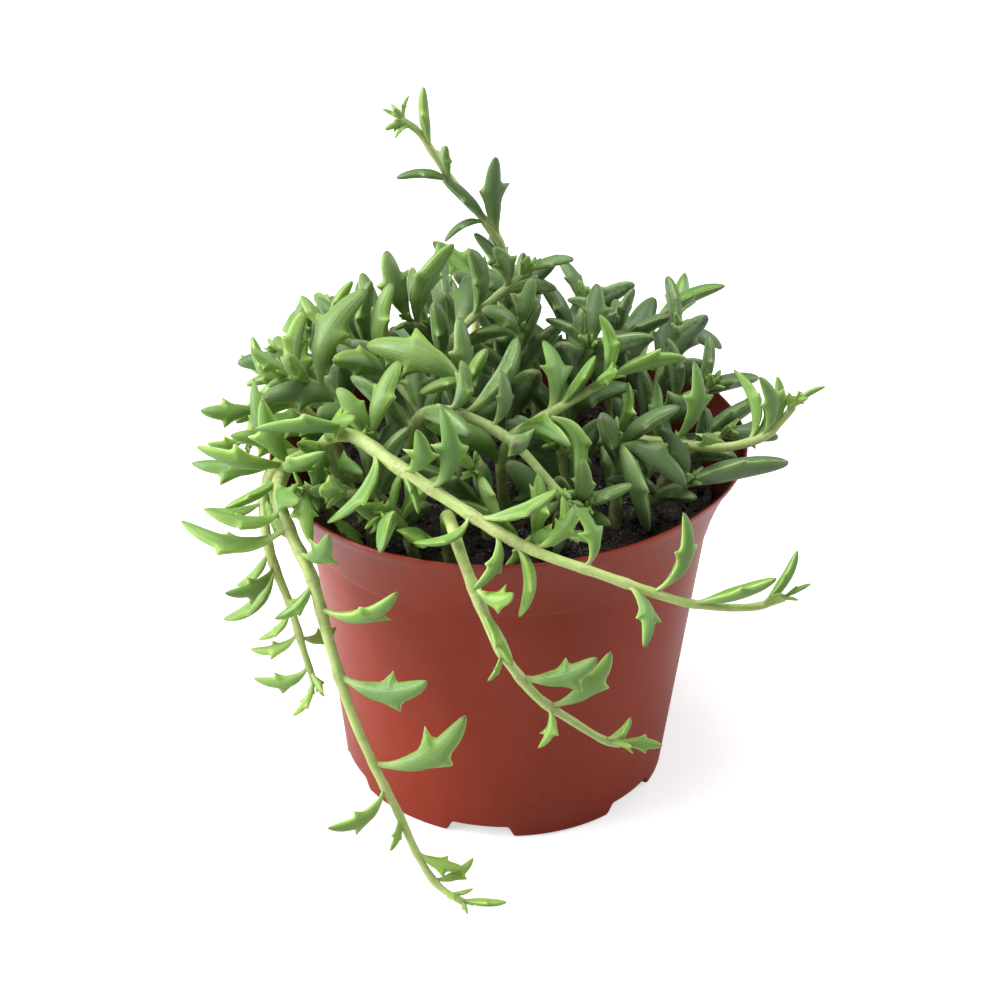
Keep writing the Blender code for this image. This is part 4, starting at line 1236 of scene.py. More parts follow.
STEM_PLANS = (
    StemPlan(
        "stem_left_trail",
        ((-37, -7, 74), (-48, -19, 99), (-54, -31, 104), (-56, -41, 101), (-52, -48, 94), (-47, -54, 86),
         (-43, -58, 71), (-38, -61, 53), (-32, -64, 38), (-26, -66, 25), (-21, -69, 14), (-16, -71, 6.5),
         (-9, -74, 3.4)),
        1.9, 0.9,
        ((-54, -44, 99, -18, -6, 4, 60), (-53, -46, 96, -26, 2, 0, 55),
         (-45, -57, 80, 19, -9, 11, 60), (-40, -60, 61, 22, -12, 7, 15), (-37, -62, 50, 12, -12, 23, 10),
         (-26, -66, 25, -2, -6, -7), (-21, -69, 15, 12, -1, -4), (-18, -71, 8, 10, 5, 3),
         (-11, -73, 4, 12, -2, 1), (-55, -36, 103, -13, -8, -4), (-48, -54, 86, -9, -4, -9),
         (-50, -24, 102, 12, -14, 12), (-53, -29, 104, -6, -6, 21), (-55, -34, 103, 10, -16, 2),
         (-54, -31, 104, -22, -2, 6), (-43, -13, 90, 6, -20, 8)),
        count=2, start=0.2, longest=22, slim=0.9,
    ),
    StemPlan(
        "stem_left_short_trail",
        ((-42, -4, 74), (-52, -16, 98), (-58, -27, 101), (-60, -35, 95), (-58, -43, 86), (-53, -49, 75),
         (-50, -52, 65), (-47, -54, 55)),
        1.7, 0.8,
        ((-60, -34, 96, -14, -3, -1), (-57, -45, 83, -13, -1, -15), (-55, -47, 79, -9, -2, -7),
         (-51, -51, 68, -12, 1, -6), (-49, -53, 60, -14, 3, -6), (-47, -54, 56, -5, -4, -8),
         (-59, -42, 86, -8, -2, -10), (-52, -16, 98, -17, -8, 10), (-56, -23, 101, -8, 4, 20),
         (-58, -28, 101, -20, -5, 2), (-60, -33, 98, 6, -14, 8)),
        count=3, start=0.35, longest=18, lift=0.3, slim=0.9,
    ),
    StemPlan(
        "stem_front_trail",
        ((-14, -34, 74), (-15, -45, 97), (-14, -54, 103), (-11, -62, 98), (-6, -66, 86), (-2, -68, 77),
         (2, -68, 70), (8, -68, 62), (16, -67, 55), (24, -65, 48), (29, -64, 46)),
        1.9, 0.9,
        ((-2, -68, 76, -3, -6, -5), (4, -68, 68, 18, -4, 9, 10), (9, -68, 60, 8, -6, 19, 25),
         (24, -65, 48, 6, -3, 9), (27, -65, 47, 12, 2, -2), (-7, -66, 88, 8, -8, -12)),
        count=2, start=0.3, longest=16, slim=0.9,
    ),
    StemPlan(
        "stem_front_right_trail",
        ((-32, -18, 74), (-41, -25, 96), (-45, -31, 110), (-38, -37, 116), (-26, -47, 113), (-14, -55, 109),
         (-2, -61, 104), (8, -65, 101), (19, -67, 98), (31, -68, 94), (43, -68, 90), (57, -66, 88),
         (66, -64, 90)),
        2.0, 0.9,
        ((-42, -33, 116, -21, -5, 4), (-32, -43, 115, -11, -11, -14), (-28, -46, 114, 6, -8, -9),
         (-19, -52, 111, 2, 2, 21), (-10, -57, 107, -13, -5, -5), (-8, -58, 107, 19, -4, 11),
         (-3, -61, 105, -5, -9, -11), (1, -62, 103, 2, -4, -19), (6, -64, 103, 10, 8, 8),
         (18, -67, 99, -3, 7, 13), (34, -68, 93, 6, 2, 21, 55), (43, -68, 90, 19, -4, 10, 75),
         (59, -66, 89, 8, 4, 13, 70), (65, -64, 90, 7, 2, 3, 80), (-43, -28, 101, -13, -10, 13),
         (-44, -30, 107, 8, -12, 16), (-40, -24, 94, 8, -16, 8)),
        count=2, start=0.2, longest=20, slim=0.86,
    ),
    StemPlan(
        "stem_right",
        ((14, 0, 74), (17, -9, 96), (25, -15, 104), (38, -18, 105), (52, -20, 105), (62, -20, 108),
         (67, -18, 112), (70, -17, 116)),
        1.8, 0.9,
        ((32, -16, 105, 5, 8, 12), (39, -18, 105, 5, 6, 20), (59, -20, 107, -4, 10, 15),
         (62, -20, 108, -2, -2, 18), (64, -20, 110, 1, 5, 13), (69, -17, 115, 8, 2, 5)),
        count=3, start=0.3, longest=20, slim=0.84,
    ),
    StemPlan(
        "stem_top_left",
        ((-22, 0, 74), (-22, -3, 100), (-18, -3, 118), (-12, 0, 127), (-4, 5, 133), (4, 8, 139)),
        1.7, 0.9,
        ((3, 8, 138, 12, -2, 5), (-2, 6, 135, -3, -3, 13)),
        count=5, start=0.35, longest=26,
        slot=Slot.OLD,
    ),
    StemPlan(
        "stem_top",
        ((6, 20, 74), (7, 18, 100), (3, 13, 122), (0, 10, 134), (-3, 10, 144), (-7, 10, 151),
         (-15, 10, 161), (-20, 10, 169), (-24, 10, 175), (-29, 9, 179)),
        1.6, 0.8,
        ((0, 10, 134, -9, -4, 18, 50), (2, 11, 130, 6, 2, 10, 60), (-3, 10, 143, -12, -7, -3, 70),
         (-6, 10, 149, -12, -4, 15, 65), (-4, 10, 146, -1, -3, 24, 20), (-15, 10, 161, -14, -6, 4, 75),
         (-21, 10, 170, -2, -1, 17, 80), (-26, 9, 177, -6, -1, 4, 80), (-25, 9, 176, -4, -5, -1, 60),
         (-27, 9, 178, 1, 2, 6)),
        count=2, start=0.3, longest=20,
        slot=Slot.OLD,
        slim=0.72,
    ),
    StemPlan(
        "stem_centre_over",
        ((-24, -12, 74), (-25, -21, 102), (-22, -27, 116), (-16, -31, 120), (-7, -33, 118), (1, -36, 114),
         (8, -40, 108), (13, -43, 103)),
        1.8, 1.0,
        ((-15, -31, 120, 3, -4, 16), (12, -43, 104, 8, -6, -5), (-5, -34, 117, 2, 5, 13)),
        count=5, start=0.3, longest=25,
        slot=Slot.OLD,
    ),
    StemPlan(
        "stem_centre_right",
        ((0, -12, 74), (-2, -19, 96), (0, -23, 108), (7, -22, 113), (16, -18, 117), (24, -15, 121)),
        1.8, 1.1,
        ((12, -20, 115, 9, 4, 13), (22, -16, 120, -1, 2, 18), (23, -15, 121, 20, 7, 3),
         (8, -22, 113, 8, -12, -14)),
        count=4, start=0.3, longest=25,
    ),
    StemPlan(
        "stem_left",
        ((-36, 4, 74), (-49, -1, 99), (-58, -6, 109), (-63, -12, 109), (-65, -18, 104)),
        1.8, 1.0,
        ((-62, -11, 109, -14, -8, 3), (-65, -18, 104, -10, -4, 0), (-57, -6, 108, -8, 5, 15)),
        count=7, start=0.25, longest=23,
    ),
    StemPlan(
        "stem_right_low",
        ((31, -10, 74), (34, -17, 86), (38, -23, 93), (44, -26, 98)),
        2.0, 1.4,
        ((40, -25, 95, 29, 4, 7, 72), (44, -26, 98, 3, 10, 14), (36, -21, 90, 10, -11, 7)),
        count=1, start=0.5, longest=22,
        slot=Slot.OLD,
    ),
    mound_stem(
        "stem_mound_01", (-20, 13), (-46, 6, 121),
        ((-44, 6, 119, 4, 4, 14), (-46, 6, 120, -8, 6, 8)),
    ),
    mound_stem(
        "stem_mound_02", (-10, 22), (-26, 12, 122),
        ((-24, 13, 119, 9, 1, 23), (-26, 12, 122, -3, 3, 20)),
    ),
    mound_stem(
        "stem_mound_03", (-28, -4), (-56, -11, 118),
        ((-55, -11, 117, -10, -2, 9), (-49, -9, 111, 11, 8, 24), (-53, -10, 115, 1, 7, 16)),
    ),
    mound_stem("stem_mound_04", (-24, -27), (-40, -42, 103), ((-39, -41, 102, -20, -6, 1),)),
    mound_stem("stem_mound_05", (-5, -26), (-8, -39, 108), ((-8, -39, 107, 6, -10, -9),)),
    mound_stem("stem_mound_06", (10, -26), (18, -42, 100), longest=25),
    mound_stem(
        "stem_mound_07", (-12, -6), (-11, -18, 120),
        ((-11, -18, 119, -25, 8, 7), (-11, -17, 117, 5, -5, 14)),
    ),
    mound_stem("stem_mound_08", (14, 10), (20, 2, 121), ((19, 3, 119, -11, 2, 8), (20, 2, 121, 1, 6, 15))),
    mound_stem(
        "stem_mound_09", (27, -17), (26, -25, 110),
        ((24, -21, 110, 8, -10, -20), (23, -20, 107, 17, -8, -6)),
    ),
    mound_stem("stem_mound_10", (31, 6), (42, 2, 94), count=6, longest=20),
    mound_stem(
        "stem_mound_11", (28, 20), (27, 21, 117),
        ((28, 21, 113, 4, 2, 14), (27, 21, 116, -13, 3, 7), (27, 21, 117, -3, 3, 13)),
    ),
    mound_stem("stem_mound_12", (14, 34), (20, 46, 112), longest=26),
    mound_stem("stem_mound_13", (-12, 38), (-18, 50, 112), longest=26),
    mound_stem("stem_mound_14", (-30, 22), (-46, 30, 114)),
    mound_stem("stem_mound_15", (0, 6), (2, 1, 126), ((1, 2, 124, -16, 1, 3), (2, 1, 126, 3, 2, 14))),
    mound_stem(
        "stem_mound_16", (-14, -17), (-33, -5, 119),
        ((-32, -6, 118, 2, 5, 21), (-30, -8, 115, -14, -8, 10)),
    ),
    mound_stem("stem_mound_17", (-4, 30), (-2, 32, 124)),
    mound_stem(
        "stem_mound_18", (-34, -26), (-34, -31, 112),
        ((-34, -31, 111, 7, 6, 19), (-34, -31, 110, -7, -2, 14)),
    ),
    mound_stem("stem_mound_19", (34, 14), (51, 9, 106), count=6, longest=26),
    mound_stem("stem_mound_20", (38, -2), (54, -6, 101), count=5, longest=24),
    mound_stem("stem_mound_21", (37, 26), (44, 33, 110), count=6, longest=26),
    mound_stem("stem_mound_22", (5, 39), (2, 53, 112), count=6, longest=26),
    mound_stem("stem_mound_23", (-36, 12), (-60, 12, 112), count=6, longest=26),
    mound_stem("stem_mound_24", (15, -16), (12, -20, 104), count=5, longest=26),
    StemPlan(
        "stem_left_low",
        ((-41, -22, 74), (-44, -28, 88), (-47, -35, 99), (-50, -42, 104)),
        1.7, 1.0, count=7, start=0.25, longest=25, lift=0.4,
    ),
    StemPlan(
        "stem_front_left_low",
        ((-22, -34, 74), (-24, -39, 87), (-27, -44, 97), (-30, -49, 101)),
        1.7, 1.0, count=7, start=0.3, longest=25, lift=0.5,
    ),
    StemPlan(
        "stem_front_low",
        ((2, -36, 74), (4, -41, 87), (8, -47, 95), (13, -51, 98)),
        1.7, 1.0, count=6, start=0.3, longest=22, lift=0.4,
    ),
    StemPlan(
        "stem_back_trail",
        ((-2, 42, 74), (-4, 52, 96), (-7, 62, 103), (-9, 69, 98), (-10, 72, 86), (-8, 72, 72), (-3, 71, 60)),
        1.9, 1.0, count=6, start=0.25, longest=22, lift=0.25,
    ),
    StemPlan(
        "stem_back_right_trail",
        ((28, 32, 74), (34, 41, 96), (38, 50, 103), (42, 57, 99), (44, 61, 88), (43, 62, 76), (40, 62, 66)),
        1.9, 1.0, count=6, start=0.25, longest=22, lift=0.25,
    ),
    StemPlan(
        "stem_back_left_trail",
        ((-38, 18, 74), (-46, 26, 97), (-54, 33, 104), (-60, 37, 98), (-61, 42, 86), (-58, 46, 76)),
        1.9, 1.0, count=6, start=0.25, longest=22, lift=0.25,
    ),
)


class Route:
    """A smooth curve that can be asked for its place and direction at a share of its length."""

    def __init__(self, corners: tuple[Place, ...], steps: int = 8) -> None:
        """Draws a curve through the corners whose pieces are cubics that share their slopes.

        Args:
            corners: The points that it passes through.
            steps: How many points each piece gets.
        """
        p = np.array(corners, float)
        p = np.vstack([2 * p[0] - p[1], p, 2 * p[-1] - p[-2]])
        t = np.linspace(0.0, 1.0, steps, endpoint=False)[:, None]
        spans = [
            0.5 * (2 * b + (c - a) * t + (2 * a - 5 * b + 4 * c - d) * t**2 + (3 * b - a - 3 * c + d) * t**3)
            for a, b, c, d in zip(p, p[1:], p[2:], p[3:])
        ]
        self.points = np.vstack([*spans, p[-2:-1]])
        lengths = np.linalg.norm(np.diff(self.points, axis=0), axis=1)
        self.along = np.concatenate([[0.0], np.cumsum(lengths)])
        self.length = self.along[-1]

    def at(self, share: Array | float) -> Array:
        """The place at each share of the length."""
        wanted = np.clip(share, 0.0, 1.0) * self.length
        return np.stack([np.interp(wanted, self.along, self.points[:, k]) for k in range(3)], -1)

    def nearest(self, place: Place) -> float:
        """The share of the length at which the curve passes nearest to a place."""
        off = np.linalg.norm(self.points - np.asarray(place, float), axis=1)
        return self.along[off.argmin()] / self.length

    def way(self, share: Array | float) -> Array:
        """The direction at each share of the length."""
        ahead = self.at(np.asarray(share) + SLOPE_STEP) - self.at(np.asarray(share) - SLOPE_STEP)
        return ahead / np.linalg.norm(ahead, axis=-1, keepdims=True)

    def frames(self, shares: Array) -> tuple[Array, Array]:
        """Two directions across the curve at each share, turned as little as possible along it.

        Args:
            shares: Shares of the length.

        Returns:
            The one across, and the one at right angles to it and to the curve.
        """
        ways = self.way(shares)
        across = [beside(ways[0], 0.0)]
        for way in ways[1:]:
            across.append(unit(across[-1] - np.dot(across[-1], way) * way))
        return np.array(across), np.cross(ways, np.array(across))


# Leaves


@dataclass(frozen=True)
class BladeShape:
    """How a leaf is shaped, as shares of its length.

    taper, arch, tooth_reach and plump are pairs: for the leaves of an old and of a young stem. view is the
    direction that a leaf with a known turn is turned from.
    """

    width: float = 0.142
    thick: float = 0.108
    petiole: float = 0.25
    petiole_least: float = 0.5
    swell_start: float = 0.02
    swell_end: float = 0.46
    tip_power: float = 2.6
    taper: Span = (0.52, 0.66)
    long_leaf: float = 19.0
    long_power: float = 0.4
    arch: Span = (0.2, 0.45)
    tooth_before: float = 0.13
    tooth_after: float = 0.085
    tooth_bow: float = 1.25
    tooth_flat: float = 6.0
    tooth_reach: Span = (1.05, 1.25)
    plump: Span = (1.0, 0.88)
    along_stem: float = 0.7
    upward: float = 0.22
    view: Place = (0.0, 0.86, -0.51)
    fin: float = 0.58
    fin_before: float = 0.47
    fin_after: float = 0.7
    fin_least: float = 0.06
    fin_most: float = 0.13
    fin_hook: float = 0.6
    guide_reach: float = 0.52
    least_bend: float = 0.05
    side_hint: Place = (0.2, 0.3, 1.0)
    roll: Span = (20.0, 80.0)
    widest: float = 0.5
    foot_flare: float = 0.85
    foot_end: float = 0.2
    balls: int = 13
    ball_ends: Span = (0.06, 0.985)
    ball_least: float = 0.5
    fin_balls: Place = (0.4, 0.9, 0.5, 0.5, 0.6, 0.6)
    ridge: float = 1.5
    belly: float = 1.12
    stations: tuple[float, ...] = (
        0.0, 0.06, 0.13, 0.21, 0.3, 0.38, 0.44, 0.485, 0.52, 0.55,
        0.572, 0.59, 0.61, 0.64, 0.69, 0.75, 0.82, 0.89, 0.945, 0.98,
    )
    sides: int = 12
    bud_stations: tuple[float, ...] = (0.0, 0.16, 0.34, 0.5, 0.58, 0.68, 0.82, 0.94)
    bud_sides: int = 8

    def stalk(self, s: Array) -> Array:
        """The share of the full width that the stalk swells to: petiole, then an S-shaped rise to one."""
        return self.petiole + (1.0 - self.petiole) * smoothstep(self.swell_start, self.swell_end, s)

    def rounding(self, s: Array) -> Array:
        """One up to the widest place, and 1 - (share of the way from there to the tip)^power beyond it."""
        return 1.0 - np.clip((np.asarray(s) - self.widest) / (1.0 - self.widest), 0.0, 1.0) ** self.tip_power


BLADE = BladeShape()


@dataclass(frozen=True)
class Leaf:
    """A leaf's base, middle guide and tip, the way across it, its sizes and its place on the stem."""

    base: Array
    guide: Array
    tip: Array
    side: Array
    length: float
    left_fin: float
    right_fin: float
    slim: float
    foot: float

    @classmethod
    def grow(
        cls,
        route: Route,
        share: float,
        reach: Array,
        draw: random.Random,
        slim: float = 1.0,
        turn: float | None = None,
    ) -> "Leaf":
        """A leaf from a stem's middle line. It leans along the stem and upwards and curves over to its tip.

        Args:
            route: The stem's route.
            share: Where on it the leaf grows.
            reach: The way from there to the leaf's tip.
            draw: Gives its roll, unless turn does, and its fins.
            slim: A factor on its width.
            turn: How far its broad side is turned from the front, in degrees, or None.

        Returns:
            The leaf.
        """
        base = route.at(share)
        reach = np.asarray(reach, float)
        length = np.linalg.norm(reach)
        out = unit(unit(reach) + BLADE.along_stem * route.way(share) + BLADE.upward * UP)
        guide = base + out * length * BLADE.guide_reach
        tip = base + reach
        chord = unit(tip - base)
        bend = np.cross(out, chord)
        side = unit(bend if np.linalg.norm(bend) > BLADE.least_bend else np.cross(chord, BLADE.side_hint))
        roll = math.radians(draw.uniform(*BLADE.roll)) * draw.choice((-1, 1))
        if turn is not None:
            side, roll = unit(np.cross(chord, BLADE.view)), math.radians(turn)
        side = math.cos(roll) * side + math.sin(roll) * np.cross(chord, side)
        way = unit(2 * (1 - BLADE.fin) * (guide - base) + 2 * BLADE.fin * (tip - guide))
        side = unit(side - np.dot(side, way) * way)
        fins = [length * draw.uniform(BLADE.fin_least, BLADE.fin_most) for k in range(2)]
        return cls(base, guide, tip, side, length, fins[0], fins[1], slim, share)

    def half_width(self, s: Array) -> Array:
        """Half the width along the leaf: a thin stalk that swells to the middle and rounds off to the tip."""
        full = self.length * BLADE.width * self.slim
        return np.maximum(full * BLADE.stalk(s), BLADE.petiole_least) * np.sqrt(BLADE.rounding(s))

    def frame(self, s: Array) -> tuple[Array, Array, Array]:
        """The middle line and the directions along and across the leaf at shares s of it.

        The middle line is (1 - s)^2 base + 2 s (1 - s) guide + s^2 tip, and its way is that sum's slope.

        Args:
            s: Shares of the leaf.

        Returns:
            The places, the directions along and the directions across.
        """
        s = np.asarray(s, float)[:, None]
        place = (1 - s) ** 2 * self.base + 2 * s * (1 - s) * self.guide + s**2 * self.tip
        way = 2 * (1 - s) * (self.guide - self.base) + 2 * s * (self.tip - self.guide)
        way /= np.linalg.norm(way, axis=1, keepdims=True)
        across = self.side - (way @ self.side)[:, None] * way
        return place, way, across / np.linalg.norm(across, axis=1, keepdims=True)

    def balls(self) -> tuple[Array, Array, Array]:
        """Balls that fill the leaf and its fins, as centres, radii and shares, to test what it touches."""
        s = np.linspace(*BLADE.ball_ends, BLADE.balls)
        place = self.frame(s)[0]
        radii = np.maximum(self.half_width(s), BLADE.ball_least)
        at_fin = [BLADE.fin_before, BLADE.fin, BLADE.fin_after]
        middle, ahead, across = self.frame(at_fin)
        half = self.half_width(at_fin)
        fins = []
        for sign, fin in ((1, self.right_fin), (-1, self.left_fin)):
            before, root, after = middle + sign * across * half[:, None]
            peak = root + sign * across[1] * fin + ahead[1] * BLADE.fin_hook * fin
            fins += [peak, (root + peak) / 2, (before + 2 * peak) / 3, (after + 2 * peak) / 3]
            fins += [(2 * before + peak) / 3, (2 * after + peak) / 3]
        shares = np.concatenate([s, [BLADE.fin] * len(fins)])
        return np.vstack([place, fins]), np.concatenate([radii, BLADE.fin_balls * 2]), shares

    def skin(
        self, skin: Skin, stem_radius: float, young: bool, bud: bool, tone: float, youth: float
    ) -> None:
        """Adds the leaf's surface.

        A point is the middle line at s, plus across times the rounded cosine of the angle times the half
        width, plus up times the rounded sine times the thickness. Above the edges the sum of the two powers
        makes a keel, and below them a rounder belly. Each edge is drawn out by a tooth that leans to the
        tip. The foot widens into the stem.

        Args:
            skin: Takes the surface in.
            stem_radius: The stem's radius at the leaf's foot.
            young: Whether the stem is a young one, with slimmer leaves and longer teeth.
            bud: Whether it is a small leaf of the shoot's tip, with few faces.
            tone: The leaf's own tone, 0 to 1.
            youth: How fresh it is, 0 to 1.
        """
        s = np.array(BLADE.bud_stations if bud else BLADE.stations)
        sides = BLADE.bud_sides if bud else BLADE.sides
        c, z = np.cos(around(sides)), np.sin(around(sides))
        power = np.where(z > 0, BLADE.ridge, BLADE.belly)
        round_c, round_z = np.sign(c) * np.abs(c) ** power, np.sign(z) * np.abs(z) ** power
        bow = self.guide - (self.base + self.tip) / 2
        place, way, across = replace(self, guide=self.guide + BLADE.arch[young] * bow).frame(s)
        above = np.cross(across, way)
        full = self.length * BLADE.width * self.slim * BLADE.plump[young]
        full *= min(1.0, (BLADE.long_leaf / self.length) ** BLADE.long_power)
        wide = np.maximum(full * BLADE.stalk(s), BLADE.petiole_least)
        wide *= BLADE.rounding(s) ** BLADE.taper[young]
        flare = stem_radius * BLADE.foot_flare * (1.0 - smoothstep(0.0, BLADE.foot_end, s))
        wide = np.maximum(wide, flare)
        thick = wide * BLADE.thick / BLADE.width
        before, after = (BLADE.fin - s) / BLADE.tooth_before, (s - BLADE.fin) / BLADE.tooth_after
        tooth = np.clip(1 - np.maximum(before, after), 0, 1) ** BLADE.tooth_bow
        fin = np.where(c > 0, self.right_fin, self.left_fin) * BLADE.tooth_reach[young]
        drawn = tooth[:, None] * (fin * np.abs(c) ** BLADE.tooth_flat)
        grid = place[:, None] + across[:, None] * (round_c * wide[:, None] + np.sign(c) * drawn)[..., None]
        grid += above[:, None] * (round_z * thick[:, None])[..., None]
        grid += way[:, None] * (BLADE.fin_hook * drawn)[..., None]
        values = {
            "along": s[:, None],
            "keel": z,
            "edge": np.abs(c),
            "blade": smoothstep(BLADE.swell_start, BLADE.foot_end, s)[:, None],
            "tone": tone,
            "youth": youth,
            "node": tooth[:, None] * np.abs(c) ** BLADE.tooth_flat,
        }
        skin.add_tubes(grid[None], self.base[None], self.tip[None], values, flip=True)


@dataclass
class Room:
    """What is already placed: balls of stems and leaves, and the pot, the soil and the floor."""

    pot: PotShape
    soil: SoilShape
    clear: float = 0.45
    foot_share: float = 0.1
    outer_share: float = 0.4
    own_slack: float = 0.3
    widest_ball: float = 10.0
    places: Array = field(default_factory=lambda: np.zeros((0, 3)))
    radii: Array = field(default_factory=lambda: np.zeros(0))
    owners: Array = field(default_factory=lambda: np.zeros(0, int))
    shares: Array = field(default_factory=lambda: np.zeros(0))

    def add(self, places: Array, radii: Array, owner: int, shares: Array) -> None:
        """Takes in the balls of a stem or a leaf.

        Args:
            places: Their centres.
            radii: Their radii.
            owner: The stem's number.
            shares: Where along the leaf each is, with 0 for a stem.
        """
        self.places = np.vstack([self.places, places])
        self.radii = np.concatenate([self.radii, radii])
        self.owners = np.concatenate([self.owners, np.full(len(radii), owner)])
        self.shares = np.concatenate([self.shares, shares])

    def pot_gap(self, places: Array, radii: Array) -> Array:
        """The smallest gap from each ball to the pot's wall, the soil and the floor below.

        Args:
            places: The balls' centres.
            radii: Their radii.

        Returns:
            A gap for each, below zero where it cuts in.
        """
        x, y, z = places.T
        angle, far = np.arctan2(y, x), np.hypot(x, y)
        height = np.clip(z, 0.0, self.pot.height)
        outer, inner = (self.pot.wall_radius(section, angle, height) for section in self.pot.sections())
        sideways = np.maximum(far - outer, inner - far)
        above = np.maximum(z - self.pot.height, 0.0)
        wall = np.hypot(np.maximum(sideways, 0.0), above) + np.minimum(sideways, 0.0) * (above == 0)
        soil = np.where(far < inner, z - self.soil.height(x, y), np.inf)
        return np.minimum.reduce([wall, soil, z]) - radii

    def clearance(self, places: Array, radii: Array, shares: Array, owner: int) -> float:
        """The smallest gap between a leaf and everything placed, its own foot left out.

        Args:
            places: The leaf's balls.
            radii: Their radii.
            shares: Where along the leaf each is.
            owner: The number of its stem.

        Returns:
            The gap.
        """
        gap = self.pot_gap(places, radii)[shares > self.foot_share].min()
        if gap <= self.clear:
            return gap
        middle = places.mean(0)
        reach = np.linalg.norm(places - middle, axis=1).max() + self.widest_ball
        close = np.linalg.norm(self.places - middle, axis=1) < reach
        apart = np.linalg.norm(self.places[None, close] - places[:, None], axis=2)
        near = apart - self.radii[None, close] - radii[:, None]
        own = self.owners[close] == owner
        gap = min(gap, near[:, ~own].min(initial=np.inf))
        outer, outer_own = shares > self.outer_share, own & (self.shares[close] > self.outer_share)
        return min(gap, near[outer][:, outer_own].min(initial=np.inf) + self.own_slack)


@dataclass(frozen=True)
class GrowthRule:
    """How leaves follow each other on a stem, how one gives way for want of room, and how buds sit.

    bud_out, bud_foot and bud_length each give the first bud's value and the step to the next one.
    """

    divergence: float = math.radians(137.5)
    last: float = 0.97
    share_draw: Span = (-0.02, 0.02)
    turn_draw: Span = (-0.4, 0.4)
    along: float = 0.45
    outward: float = 0.3
    shorten_from: float = 0.6
    shorten_by: float = 0.45
    length_draw: Span = (0.85, 1.08)
    tries: int = 56
    nudge: float = 0.014
    slide: float = 0.002
    shrink: float = 0.008
    shrink_from: int = 12
    feet: Span = (0.05, 0.99)
    buds: int = 4
    bud_turn_draw: Span = (-0.3, 0.3)
    bud_up: float = 0.25
    bud_out: Span = (0.35, 0.22)
    bud_foot: Span = (0.995, -0.012)
    bud_length: Span = (4.2, 1.1)


@dataclass(frozen=True)
class FreshnessAndLight:
    """How fresh and how light the leaves of a kind of stem are: fresh by chance and near the tip, with
    painted light that is most at the front left and painted shade towards the back right.

    least is the least painted light at a place, spread how far leaves beside each other differ, and tone the
    share of a leaf's own tone that doesn't depend on its place; the rest of the tone is painted light.
    """

    least: float
    spread: float
    tone: float
    middle: float = 0.44
    shade_rightwards: float = 0.0125
    shade_backwards: float = 0.008
    tip_start: float = 0.72
    tip_end: float = 1.02
    tip_share: float = 0.8
    bud_least: float = 0.75

    def at(self, place: Array) -> float:
        """Painted light and shade at a place, as a freshness up to 1: most at the front left, least at the
        back right.
        """
        fresh = self.middle - self.shade_rightwards * place[0] - self.shade_backwards * place[1]
        return float(np.clip(fresh, self.least, 1.0))

    def youth(self, fresh: float, foot: float, chance: float) -> float:
        """How young a leaf looks.

        Args:
            fresh: The painted light at its place.
            foot: The share of the stem that it grows at.
            chance: A random number of its own.

        Returns:
            The tip's S-shaped rise times fresh, plus spread times fresh squared times chance, up to 1.
        """
        tip = float(smoothstep(self.tip_start, self.tip_end, foot))
        return min(tip * self.tip_share * fresh + self.spread * fresh**2 * chance, 1.0)


GROWTH = GrowthRule()
FRESHNESS_AND_LIGHT = {
    Slot.YOUNG: FreshnessAndLight(least=0.32, spread=0.75, tone=0.5),
    Slot.OLD: FreshnessAndLight(least=0.12, spread=0.62, tone=0.0),
}


